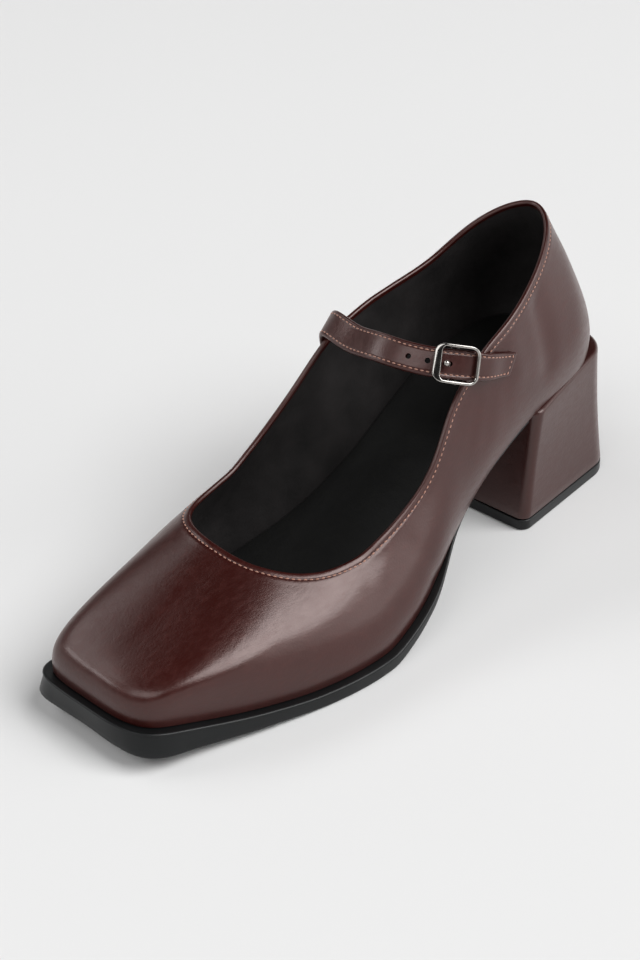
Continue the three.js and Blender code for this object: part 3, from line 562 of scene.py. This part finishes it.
def make_upper():
    near = np.array([0, 0.25, 0.5, 0.8, 1.1, 1.4, 1.6, 1.75, 1.9, 2.05, 2.3, 2.7, 3.2, 3.8, 4.6, 5.6, 7])
    body = np.linspace(0, 1, 44)[:-1]
    turned = below_rim(U, near[-1])
    levels = [(v * turned, None) for v in body] + [(below_rim(U, d), d) for d in near[::-1]]
    points = []
    for v, d in levels:
        p = skin(U, np.broadcast_to(v, U.shape))
        relief = soft_creases(p) if d is None else soft_creases(p) * d / near[-1] + fold_relief(d)
        points.append(p + skin_normal(U, v) * relief[:, None])
    top, normal = skin(U, np.ones(ROUND)), skin_normal(U, np.ones(ROUND))
    rise = unit(top - skin(U, below_rim(U, 1)))
    r = UPPER_WALL / 2
    for a in np.radians([30, 60, 90, 120, 150]):
        points.append(top + normal * r * (np.cos(a) - 1) + rise * r * 0.8 * np.sin(a))
    outer_rows = len(points)
    inner = [0, 0.6, 1.2, 1.6, 2.4, 4]
    levels = [below_rim(U, d) for d in inner] + [v * below_rim(U, 4) for v in np.linspace(1, 0, 26)[1:]]
    for v in levels:
        p = skin(U, v) - skin_normal(U, v) * UPPER_WALL
        if v is levels[-1]:
            p[:, 2] = bottom(-p[:, 1])
        points.append(p)
    faces = grid_faces(len(points), ROUND, closed=True)
    slots = [0 if i // ROUND < outer_rows + 2 or i // ROUND == len(points) - 1 else 1 for i in range(len(faces))]
    piece = make_piece("upper_leather", np.concatenate(points), faces, [oxblood_calf, black_lining], slots, 50)
    return dress(piece, "burgundy_leather", "upper")


def stitches(name, middles, directions, normals, material, slot):
    """A joined mesh of short stitches, each sunk at its ends."""
    shape = [(-1, 0.25, -0.9), (-0.86, 0.8, -0.35), (-0.45, 1, 0.05), (0, 1, 0.15)]
    shape += [(-a, r, h) for a, r, h in shape[2::-1]]
    sides = 8
    turn = np.arange(sides) / sides * 2 * np.pi
    over = unit(np.cross(normals, directions))
    blocks = []
    for along, radius, lift in shape:
        middle = middles + directions * along * STITCH_LENGTH / 2 + normals * lift * THREAD / 2
        ring = over[:, None] * np.cos(turn)[:, None] + normals[:, None] * np.sin(turn)[:, None]
        blocks.append(middle[:, None] + ring * radius * THREAD / 2)
    points = np.stack(blocks, 1)
    count, rings = points.shape[:2]
    one = closed_tube(rings, sides)
    faces = [tuple(k + i * rings * sides for k in f) for i in range(count) for f in one]
    piece = make_piece(name, points.reshape(-1, 3), faces, [material], sharp=60)
    return dress(piece, slot)


def walk(points, pitch):
    """Places a pitch apart round a loop of points, as an index with its fraction."""
    line = np.concatenate([points, points[:1]])
    reach = np.concatenate([[0], np.cumsum(np.linalg.norm(np.diff(line, axis=0), axis=1))])
    count = int(reach[-1] / pitch)
    wanted = (np.arange(count) + 0.5) * reach[-1] / count
    return np.interp(wanted, reach, np.arange(len(line)))


def make_topline_seam():
    def seam(u):
        return skin(u, below_rim(u, TOPLINE_SEAM))

    fine = 2 * PER_ROW
    at = walk(seam(np.arange(ROWS * fine) / fine), STITCH_PITCH) / fine
    v = below_rim(at, TOPLINE_SEAM)
    middles = seam(at) + skin_normal(at, v) * (-0.05)
    directions = unit(seam(at + 0.01) - seam(at - 0.01))
    return stitches("topline_stitches", middles, directions, skin_normal(at, v), rose_thread, "burgundy_leather")


# Outsole, insole and heel
def feather_ring(u, move, height, square=0.0):
    """Ring moved out from the upper's foot line, at heights given by how far along a point is."""
    p = section(u)["foot"].copy()
    spread = SOLE_FLANGE * sum(share * bump_at(u, row, wide) for row, share, wide in TOE_CORNERS)
    by = (move(-p[:, 1]) if callable(move) else move) + square * spread
    p += out_of(u, "foot") * np.broadcast_to(by, u.shape)[:, None]
    p[:, 2] = height(-p[:, 1])
    return p


def rounded(inset, low, high, steps=6):
    """Quarter round from the underside up to the side: inset and height pairs."""
    turns = np.radians(np.linspace(0, 90, steps))
    return [(inset * (1 - math.sin(a)), low + (high - low) * (1 - math.cos(a))) for a in turns]


# Round the lip, from the side's end of it inwards: inset and depth, as a share of the lip
LIP_ROUND = [
    (SOLE_LIP_STEP, 1), (SOLE_LIP_STEP * 0.9, 0.98), (0.12, 0.9), (0, 0.8), (0, 0.68),
    (0.06, 0.45), (0.2, 0.22), (0.42, 0.06), (0.7, 0), (1.5, 0.05),
]


def make_outsole():
    def ring(inset, square, height):
        rings.append(feather_ring(U, lambda s: sole_ledge(s) - inset, height, square))

    def top(s):
        return bottom(s) - GAP

    rings = []
    for inset, rise in rounded(SOLE_EDGE_ROUND, 0, SOLE_EDGE_ROUND):
        ring(inset + SOLE_LIP_STEP, 1, lambda s: top(s) - sole_thickness(s) + rise)
    for k in (0.25, 0.5, 0.75, 0.93):
        ring(
            SOLE_LIP_STEP, mix(1, 0.15, k),
            lambda s: mix(top(s) - sole_thickness(s) + SOLE_EDGE_ROUND, top(s) - SOLE_LIP, k),
        )
    for inset, depth in LIP_ROUND:
        ring(inset, 0.15, lambda s: top(s) - depth * SOLE_LIP)
    n = len(rings)
    faces = grid_faces(n, ROUND) + lid_faces(0, ROUND) + lid_faces((n - 1) * ROUND, ROUND)
    piece = make_piece("outsole_rubber", np.concatenate(rings), faces, [charcoal_rubber], sharp=32)
    work = bmesh.new()
    work.from_mesh(piece.data)
    breast = to_frame([0, -(HEEL_TOP["front"] + 4 * GAP), 0])
    cut = bmesh.ops.bisect_plane(
        work, geom=work.verts[:] + work.edges[:] + work.faces[:],
        plane_co=breast, plane_no=(0, 1, 0), clear_outer=True,
    )
    edges = [e for e in cut["geom_cut"] if isinstance(e, bmesh.types.BMEdge)]
    bmesh.ops.holes_fill(work, edges=edges)
    work.to_mesh(piece.data)
    work.free()
    finish_mesh(piece.data, 32)
    return dress(piece, "black_rubber", "outsole")


def make_insole():
    inset = -(UPPER_WALL + 2 * GAP)
    rings = [feather_ring(U, inset, bottom)]
    for i, h in [(0, 0.55), (0.12, 0.8), (0.4, 0.95), (0.9, 1)]:
        rings.append(feather_ring(U, inset - i, lambda s: bottom(s) + h * INSOLE_THICKNESS))
    rim = rings[-1]
    middle = (rim + np.roll(rim[::-1], 1, axis=0)) / 2
    for share in (0.82, 0.6, 0.35):
        ring = middle + (rim - middle) * share
        ring[:, 2] = bottom(-ring[:, 1]) + INSOLE_THICKNESS - 0.35 * (1 - share)
        rings.append(ring)
    n = len(rings)
    faces = grid_faces(n, ROUND) + lid_faces(0, ROUND) + lid_faces((n - 1) * ROUND, ROUND)
    piece = make_piece("insole_sock", np.concatenate(rings), faces, [sock_leather], sharp=60)
    return dress(piece, "black_lining", "insole")


def heel_outline(share, inset, height, steps=14):
    """Ring round the heel, a share of the way from its foot to its top."""
    size = {key: mix(HEEL_FOOT[key], HEEL_TOP[key], share) for key in HEEL_FOOT}
    back, front = size["back"] + inset, size["front"] - inset
    narrow, wide = size["narrow"] / 2 - inset, size["wide"] / 2 - inset
    lean = 90 + math.degrees(math.atan2(wide - narrow, front - back))
    side = []

    def corner(s, x, radius, start, end):
        half = math.radians(180 - abs(end - start)) / 2
        middle = math.radians((start + end) / 2)
        s -= radius / math.sin(half) * math.cos(middle)
        x -= radius / math.sin(half) * math.sin(middle)
        for i in range(steps + 1):
            a = math.radians(mix(start, end, i / steps))
            side.append((s + radius * math.cos(a), x + radius * math.sin(a)))

    corner(back, narrow, size["round"] - inset, 180, lean)
    corner(front, wide, HEEL_FRONT_ROUND - inset, lean, 0)
    # Even steps along the side and the back keep the leather's shading smooth
    half = np.array([(back, 0)] + side + [(front, 0)])
    reach = np.concatenate([[0], np.cumsum(np.linalg.norm(np.diff(half, axis=0), axis=1))])
    extra = np.unique(np.concatenate([reach, np.linspace(0, reach[-1], 60)]))
    half = np.stack([np.interp(extra, reach, half[:, k]) for k in (0, 1)], 1)
    other = half[1:-1][::-1] * [1, -1]
    outline = np.concatenate([half, other])
    return np.stack([outline[:, 1], -outline[:, 0], height(outline[:, 0])], 1)


def along_loop(points, at):
    """Points of a loop at places given as an index with its fraction."""
    line = np.concatenate([points, points[:1]])
    at = np.mod(at, len(points))
    return np.stack([np.interp(at, np.arange(len(line)), line[:, k]) for k in range(3)], 1)


def stack_rings(name, rings, material, sharp):
    count = min(len(r) for r in rings)
    rings = [along_loop(r, np.arange(count) / count * len(r)) if len(r) != count else r for r in rings]
    n = len(rings)
    faces = grid_faces(n, count) + lid_faces(0, count) + lid_faces((n - 1) * count, count)
    return make_piece(name, np.concatenate(rings), faces, [material], sharp=sharp)


def make_heel_block():
    low = LIFT_THICKNESS + GAP
    rings = []

    def ring(share, inset, down=None):
        def height(s):
            top = bottom(s) - GAP
            return mix(low, top - HEEL_ROLL, share) if down is None else top - down
        rings.append(heel_outline(share, inset, height))

    ring(0, 0.5)
    ring(0.006, 0.15)
    ring(0.015, 0)
    for k in np.linspace(0.08, 0.92, 14):
        ring(k, 0.55 * math.sin(math.pi * k))
    for a in np.radians(np.linspace(0, 90, 7)):
        ring(1, HEEL_ROLL * (1 - math.cos(a)), HEEL_ROLL * (1 - math.sin(a)))
    piece = stack_rings("heel_cover", rings, heel_calf, 45)
    return dress(piece, "burgundy_leather", "heel_block")


def make_heel_lift():
    edges = rounded(LIFT_BEVEL, 0, LIFT_BEVEL) + [(0, LIFT_THICKNESS - 0.25), (0.25, LIFT_THICKNESS)]
    rings = [heel_outline(0, inset, lambda s: height + 0 * s) for inset, height in edges]
    piece = stack_rings("heel_top_piece", rings, lift_rubber, 40)
    return dress(piece, "black_rubber", "heel_lift")


# Strap
def skin_across(side, s, z):
    """How far across one side's skin stands, s along and at height z."""
    low, high = (2, 10) if side > 0 else (ROWS - 10, ROWS - 2)
    v_low, v_high = 0, 1
    for _ in range(4):
        u, v = np.meshgrid(np.linspace(low, high, 81), np.linspace(v_low, v_high, 81))
        p = skin(u.ravel(), v.ravel())
        k = np.argmin(np.hypot(p[:, 1] + s, p[:, 2] - z))
        best = (u.ravel()[k], v.ravel()[k])
        reach_u, reach_v = (high - low) / 40, (v_high - v_low) / 40
        low, high = best[0] - reach_u, best[0] + reach_u
        v_low, v_high = max(best[1] - reach_v, 0), min(best[1] + reach_v, 1)
    return p[k, 0]


def strap_rows():
    made = []
    for values in STRAP_PATH:
        row = dict(zip(STRAP_COLUMNS, values))
        turn, tilt = math.radians(row["turn"]), math.radians(row["tilt"])
        face = [math.sin(turn) * math.cos(tilt), -math.cos(turn) * math.cos(tilt), math.sin(tilt)]
        s = row["along"] * LAST_LENGTH
        z = float(bottom(s)) + row["rise"] * BACK_HEIGHT
        across = row["across"] * BALL_WIDTH
        if row["side"]:
            stand = STRAP_SKIN_GAP + (row["stand"] + 0.5) * STRAP_THICKNESS
            across = skin_across(row["side"], s, z) + row["side"] * stand
        made.append([across, -s, z] + face)
    return np.array(made)


strap_table = strap_rows()
strap_knots = np.concatenate([[0], np.cumsum(np.linalg.norm(np.diff(strap_table[:, :3], axis=0), axis=1))])
strap_spline = Spline(strap_knots, strap_table)
STRAP_LENGTH = strap_knots[-1]
BUCKLE_MIDDLE = strap_knots[BUCKLE_AT] - BUCKLE_BACK


def strap_at(d):
    t = np.clip(np.atleast_1d(np.asarray(d, float)), 0, STRAP_LENGTH)
    i = np.clip(np.searchsorted(strap_knots, t, side="left") - 1, 0, len(strap_knots) - 2)
    return strap_spline.at(i, t - strap_knots[i])


def strap_frame(d):
    """Middle, ahead, face and over (across its width, uphill), going on straight past the ends."""
    d = np.atleast_1d(np.asarray(d, float))
    t = np.clip(d, 0, STRAP_LENGTH)
    here = strap_at(t)
    before, after = strap_at(np.maximum(t - 0.5, 0)), strap_at(np.minimum(t + 0.5, STRAP_LENGTH))
    onward = unit(after[:, :3] - before[:, :3])
    face = here[:, 3:]
    face = unit(face - onward * (face * onward).sum(1, keepdims=True))
    return here[:, :3] + onward * (d - t)[:, None], onward, face, np.cross(face, onward)


def on_strap(d, across, out):
    """A point of the strap, with its tail's taper and slant; out is from its middle."""
    d, across, out = np.broadcast_arrays(np.asarray(d, float), across, out)
    shape = d.shape
    d, across, out = d.ravel(), across.ravel(), out.ravel()
    taper = mix(1, STRAP_TAIL_WIDTH / STRAP_WIDTH, ease(d, BUCKLE_MIDDLE, STRAP_LENGTH))
    slant = STRAP_SLANT * ease(d, STRAP_LENGTH - 14, STRAP_LENGTH)
    middle, _, face, over = strap_frame(d + across * taper * slant)
    return (middle + over * (across * taper)[:, None] + face * out[:, None]).reshape(*shape, 3)


def strap_outline():
    """Section of the folded strap: across and out pairs, with a seam drawn in near each edge."""
    w, t, r = STRAP_WIDTH / 2, STRAP_THICKNESS / 2, 0.75
    top = []
    for a in np.concatenate([np.linspace(r - w, -2.6, 9), np.linspace(-2, 2, 5), np.linspace(2.6, w - r, 9)]):
        seam = bump_at(abs(a), w - STRAP_SEAM, 0.32)
        crown = 0.1 * (1 - (a / w) ** 2)
        top.append((a, t - 0.1 + crown - 0.14 * seam + 0.06 * bump_at(abs(a), w - 0.8, 0.3)))
    edge = [(w - r + r * math.cos(a), (t - 0.1) * math.sin(a)) for a in np.radians([60, 35, 12, -12, -35, -60])]
    base = [(a, -t) for a in np.linspace(w - r, r - w, 7)]
    return top + edge + base + [(-a, o) for a, o in edge[::-1]]


HOLE_SIDES = 24


def hole_cutter(along, radius):
    middle, onward, face, over = strap_frame(BUCKLE_MIDDLE + along)
    turn = np.linspace(0, 2 * np.pi, HOLE_SIDES + 1)[:-1]
    ring = onward * np.cos(turn)[:, None] * radius + over * np.sin(turn)[:, None] * radius
    points = np.concatenate([middle + ring - face * 3, middle + ring + face * 3])
    return make_piece("cutter", points, closed_tube(2, HOLE_SIDES), [])


def cut_holes(piece, cutters):
    for cutter in cutters:
        cut = piece.modifiers.new("hole", "BOOLEAN")
        cut.operation, cut.object, cut.solver = "DIFFERENCE", cutter, "EXACT"
    bpy.context.view_layer.update()
    shaped = bpy.data.meshes.new_from_object(piece.evaluated_get(bpy.context.evaluated_depsgraph_get()))
    piece.modifiers.clear()
    piece.data = shaped
    for cutter in cutters:
        bpy.data.objects.remove(cutter)
    finish_mesh(shaped, 40)


def make_strap():
    outline = np.array(strap_outline())
    end, shrink = np.array([0, 0.15, 0.5]), np.array([0.8, 0.93, 0.99])
    stations = np.concatenate([end, np.linspace(1, STRAP_LENGTH - 1, 150), STRAP_LENGTH - end[::-1]])
    shrink = np.concatenate([shrink, np.ones(150), shrink[::-1]])[:, None]
    # a faint wave where the strap is pulled through the buckle
    ripple = 0.1 * np.sin(stations * 0.55) * bump_at(stations, BUCKLE_MIDDLE - 4, 14)
    across = outline[None, :, 0] * mix(1, shrink, 0.12)
    out = outline[None, :, 1] * shrink + ripple[:, None]
    points = on_strap(stations[:, None], across, out)
    faces = closed_tube(len(stations), len(outline))
    piece = make_piece("strap_leather", points.reshape(-1, 3), faces, [oxblood_calf], sharp=40)
    cutters = [hole_cutter(PRONG_HOLE_AT - k * HOLE_SPACING, HOLE_DIAMETER / 2) for k in range(3)]
    cutters.append(hole_cutter(PRONG_HOLE_AT + 0.9, HOLE_DIAMETER / 2))
    cut_holes(piece, cutters)
    return dress(piece, "burgundy_leather", "strap")


def make_strap_seam():
    w = STRAP_WIDTH / 2 - STRAP_SEAM
    out = STRAP_THICKNESS / 2 - 0.12
    line = [(d, w) for d in np.linspace(1.8, STRAP_LENGTH - 1.8, 300)]
    line += [(STRAP_LENGTH - 1.8, a) for a in np.linspace(w, -w, 40)[1:]]
    line += [(d, -w) for d in np.linspace(STRAP_LENGTH - 1.8, 1.8, 300)[1:]]
    line += [(1.8, a) for a in np.linspace(-w, w, 40)[1:-1]]
    line = np.array(line)
    points = on_strap(line[:, 0], line[:, 1], out)
    at = walk(points, STITCH_PITCH)
    middles = along_loop(points, at)
    directions = unit(along_loop(points, at + 0.6) - along_loop(points, at - 0.6))
    normals = strap_frame(np.interp(at, np.arange(len(line)), line[:, 0]))[2]
    normals = unit(normals - directions * (normals * directions).sum(1, keepdims=True))
    return stitches("strap_stitches", middles, directions, normals, rose_thread, "burgundy_leather")


# Buckle
def by_buckle(along, over, out):
    middle, _, face, across = strap_frame(BUCKLE_MIDDLE + np.asarray(along, float))
    return middle + across * np.asarray(over, float)[..., None] + face * np.asarray(out, float)[..., None]


def sweep(line, side, out, outline):
    """Rings of an outline of pairs along a line, with its side and out directions."""
    outline = np.array(outline)
    return line[:, None] + side[:, None] * outline[None, :, :1] + out[:, None] * outline[None, :, 1:]


def circle(radius, n=16):
    return [(radius * math.cos(a), radius * math.sin(a)) for a in np.arange(n) / n * 2 * math.pi]


def join_bodies(name, bodies, material, sharp):
    points, faces = [], []
    for p, f in bodies:
        start = sum(len(q) for q in points)
        points.append(p)
        faces += [tuple(k + start for k in face) for face in f]
    return make_piece(name, np.concatenate(points), faces, [material], sharp=sharp)


def rod(line, side, radius, n=16):
    step = unit(np.gradient(line, axis=0))
    out = unit(np.cross(side, step))
    rings = sweep(line, unit(np.cross(step, out)), out, circle(radius, n))
    return rings.reshape(-1, 3), closed_tube(len(line), n)


BAR_OUT = -(STRAP_THICKNESS / 2 + 1.5 * GAP + PRONG_DIAMETER + GAP + BUCKLE_CENTRE_BAR / 2)


def make_buckle_frame():
    long, wide = (BUCKLE_LENGTH - BUCKLE_BAR) / 2, (BUCKLE_WIDTH - BUCKLE_BAR) / 2
    radius = BUCKLE_ROUND - BUCKLE_BAR / 2
    out = STRAP_THICKNESS / 2 + GAP + BUCKLE_DEPTH / 2
    loop = []
    a, o = long - radius, wide - radius
    corners = [(a, o, 0), (-a, o, 90), (-a, -o, 180), (a, -o, 270)]
    for k, (a, o, start) in enumerate(corners):
        loop += [(a, o, start + t) for t in np.linspace(0, 90, 15)]
        na, no, _ = corners[(k + 1) % 4]
        loop += [(mix(a, na, t), mix(o, no, t), start + 90) for t in np.linspace(0, 1, 12)[1:-1]]
    loop = np.array(loop)
    turn = np.radians(loop[:, 2])
    ca, co = np.cos(turn), np.sin(turn)
    # A soft-edged bar: flat on its face, rounded at its edges
    power, sides = 0.62, 24
    bar_section = [(np.sign(x) * abs(x) ** power, np.sign(y) * abs(y) ** power) for x, y in circle(1, sides)]
    rings = []
    broad = BUCKLE_BROAD * np.maximum(0, -ca)
    for s, h in bar_section:
        reach = radius + (s * RAIL + 0.25 * (BUCKLE_BAR - RAIL)) / 2 - broad * (s < 0)
        # the broad bar's face falls away towards its outer edge
        fall = 0.22 * broad * (s > 0) * (h > 0)
        lift = out + h * BUCKLE_DEPTH / 2 - fall
        rings.append(by_buckle(loop[:, 0] + reach * ca, loop[:, 1] + reach * co, lift))
    frame_points = np.stack(rings, 1)
    frame_faces = grid_faces(len(loop), sides, closed=True)
    drop = [(-wide, out), (-wide, BAR_OUT + 0.8), (-wide + 0.25, BAR_OUT + 0.25), (0.8 - wide, BAR_OUT)]
    drop += [(o, BAR_OUT) for o in np.linspace(1.5 - wide, wide - 1.5, 9)]
    drop += [(-o, h) for o, h in drop[3::-1]]
    drop = np.array(drop)
    line = by_buckle(np.zeros(len(drop)), drop[:, 0], drop[:, 1])
    side = np.repeat(strap_frame(BUCKLE_MIDDLE)[1], len(drop), 0)
    bar = rod(line, side, BUCKLE_CENTRE_BAR / 2)
    piece = join_bodies("buckle_bow", [(frame_points.reshape(-1, 3), frame_faces), bar], nickel, 60)
    return dress(piece, "nickel", "buckle_frame")


def ball(middle, radius, n=20):
    """Sphere of rings about the level axis."""
    points, faces = [], []
    for i in range(1, n // 2):
        a = math.pi * i / (n // 2)
        for j in range(n):
            b = 2 * math.pi * j / n
            away = [math.sin(a) * math.cos(b), math.sin(a) * math.sin(b), math.cos(a)]
            points.append(middle + radius * np.array(away))
    rings = n // 2 - 1
    faces = grid_faces(rings, n)
    points += [middle + [0, 0, radius], middle - [0, 0, radius]]
    top, base = len(points) - 2, len(points) - 1
    faces += [(top, j, (j + 1) % n) for j in range(n)]
    faces += [(base, (rings - 1) * n + (j + 1) % n, (rings - 1) * n + j) for j in range(n)]
    return np.array(points), faces


def make_prong():
    r = PRONG_DIAMETER / 2
    reach = BUCKLE_CENTRE_BAR / 2 + GAP + r
    ball_out = STRAP_THICKNESS / 2 + GAP + PRONG_BALL / 2
    turns = np.radians(np.linspace(-110, 95, 18))
    path = [(reach * math.cos(a), BAR_OUT + reach * math.sin(a)) for a in turns]
    path += [(-1.1, BAR_OUT + reach + 0.1), (-1.8, BAR_OUT + reach + 0.8), (-2.1, -0.4), (-2.4, ball_out - 1)]
    path.append((PRONG_BALL_AT + 0.3, ball_out))
    path = np.array(path)
    knots = np.concatenate([[0], np.cumsum(np.linalg.norm(np.diff(path, axis=0), axis=1))])
    fine = np.linspace(0, knots[-1], 60)
    path = np.stack([np.interp(fine, knots, path[:, k]) for k in (0, 1)], 1)
    line = by_buckle(path[:, 0], np.zeros(60), path[:, 1])
    side = strap_frame(BUCKLE_MIDDLE + path[:, 0])[3]
    head = ball(by_buckle([PRONG_BALL_AT], [0.0], [ball_out])[0], PRONG_BALL / 2)
    piece = join_bodies("buckle_ball_prong", [rod(line, side, r), head], nickel, 60)
    return dress(piece, "nickel", "buckle_prong")


make_upper()
make_topline_seam()
make_outsole()
make_insole()
make_heel_block()
make_heel_lift()
make_strap()
make_strap_seam()
make_buckle_frame()
make_prong()

tab = bpy.data.objects["buckle_tab"]
tab.data.materials.clear()
tab.data.materials.append(black_lining)

# Floor
FLOOR_REACH = 4  # metres from the shoe to each edge
floor_mesh = bpy.data.meshes.new("floor")
floor_corners = [(x * FLOOR_REACH, y * FLOOR_REACH, 0) for x, y in [(-1, -1), (1, -1), (1, 1), (-1, 1)]]
floor_mesh.from_pydata(floor_corners, [], [(0, 1, 2, 3)])
floor = bpy.data.objects.new("floor", floor_mesh)
bpy.context.collection.objects.link(floor)
paper, paper_tree, paper_place = new_material("pale_paper")
paper_tone = add_node(paper_tree, "ShaderNodeTexNoise", Vector=paper_place, Scale=per_metre(400))
paper_mix = add_node(
    paper_tree, "ShaderNodeMix", {"data_type": "RGBA"},
    i0=paper_tone.outputs["Fac"], i6=linear("#e0e0e0"), i7=linear("#e2e2e2"),
)
matt = add_node(paper_tree, "ShaderNodeBsdfPrincipled", Base_Color=paper_mix.outputs[2], Roughness=0.9)
close_material(paper_tree, matt)
floor_mesh.materials.append(paper)

# Camera, fitted to the photograph: it looks down on the toe and the outer side
CAMERA_TURN, CAMERA_RISE, CAMERA_ROLL = 46.4, 31.1, -3.4  # degrees
CAMERA_LENS_PIXELS, FRAME_PIXELS, SENSOR = 1350, 960, 36
CAMERA_DISTANCE = 621  # millimetres from the point it is aimed by
AIM = np.array([0, -120, 40])
AIM_RIGHT, AIM_UP = -35.9, 31.3
SHOE_RIGHT, SHOE_UP = 57, -61  # the shoe's middle, in pixels from the middle of the fitted view
DRAWN_IN = 1.3  # how far the frame closes in on it, from the same place
turn, rise, roll = map(math.radians, (CAMERA_TURN, CAMERA_RISE, CAMERA_ROLL))
back = np.array([math.sin(turn) * math.cos(rise), -math.cos(turn) * math.cos(rise), math.sin(rise)])
level = np.array([math.cos(turn), math.sin(turn), 0])
upright = np.cross(back, level)
right = level * math.cos(roll) + upright * math.sin(roll)
up = upright * math.cos(roll) - level * math.sin(roll)
spot = to_frame(AIM + back * CAMERA_DISTANCE + right * AIM_RIGHT + up * AIM_UP)
camera_data = bpy.data.cameras.new("camera")
camera_data.sensor_width = SENSOR
camera_data.lens = DRAWN_IN * CAMERA_LENS_PIXELS * SENSOR / FRAME_PIXELS
camera_data.shift_x = DRAWN_IN * SHOE_RIGHT / FRAME_PIXELS
camera_data.shift_y = DRAWN_IN * SHOE_UP / FRAME_PIXELS
camera_data.clip_start = 0.01
camera = bpy.data.objects.new("camera", camera_data)
bpy.context.collection.objects.link(camera)
axes = np.eye(4)
axes[:3, 0], axes[:3, 1], axes[:3, 2], axes[:3, 3] = right, up, back, spot
camera.matrix_world = Matrix(axes.tolist())
bpy.context.scene.camera = camera


# Lights
def softbox(name, place, aim, size, watts):
    """White light panel, in metres and watts, square on to the point it is aimed at."""
    data = bpy.data.lights.new(name, "AREA")
    data.shape, data.size, data.size_y = "RECTANGLE", size[0], size[1]
    data.energy = watts
    lamp = bpy.data.objects.new(name, data)
    bpy.context.collection.objects.link(lamp)
    away = unit(np.array(place, float) - np.array(aim, float))
    side = unit(np.cross([0, 0, 1], away))
    pose = np.eye(4)
    pose[:3, 0], pose[:3, 1], pose[:3, 2], pose[:3, 3] = side, np.cross(away, side), away, place
    lamp.matrix_world = Matrix(pose.tolist())


softbox("key", (3.7, 1.7, 5.0), (0, 0, 0), (4.5, 4.2), 410)
softbox("front_panel", (0.4, -3.7, 4.6), (0, 0, 0), (4.4, 2.4), 85)
softbox("inner_panel", (-3.75, -1.0, 4.1), (0, 0, 0.05), (3.4, 1.9), 46)
softbox("outer_panel", (4.1, 3.0, 1.6), (0, 0, 0.05), (4.2, 2.2), 48)
softbox("toe_panel", (-2.6, -2.3, 2.3), (0, 0, 0.05), (1.4, 0.6), 16)

# A pale room round the floor: light low down, dark under its ceiling
world = bpy.data.worlds.new("studio")
world.use_nodes = True
room = world.node_tree
room.nodes.clear()
way = add_node(room, "ShaderNodeTexCoord").outputs["Generated"]
height = add_node(room, "ShaderNodeSeparateXYZ", Vector=way).outputs["Z"]
dim = add_node(
    room, "ShaderNodeMapRange", {"interpolation_type": "SMOOTHSTEP"},
    Value=height, From_Min=0.08, From_Max=0.5, To_Min=1.0, To_Max=0.015,
)
glow = add_node(room, "ShaderNodeBackground", Color=linear("#f6f5f4"), Strength=dim.outputs[0])
add_node(room, "ShaderNodeOutputWorld", Surface=glow.outputs["Background"])
bpy.context.scene.world = world
bpy.context.scene.view_settings.view_transform = "Standard"
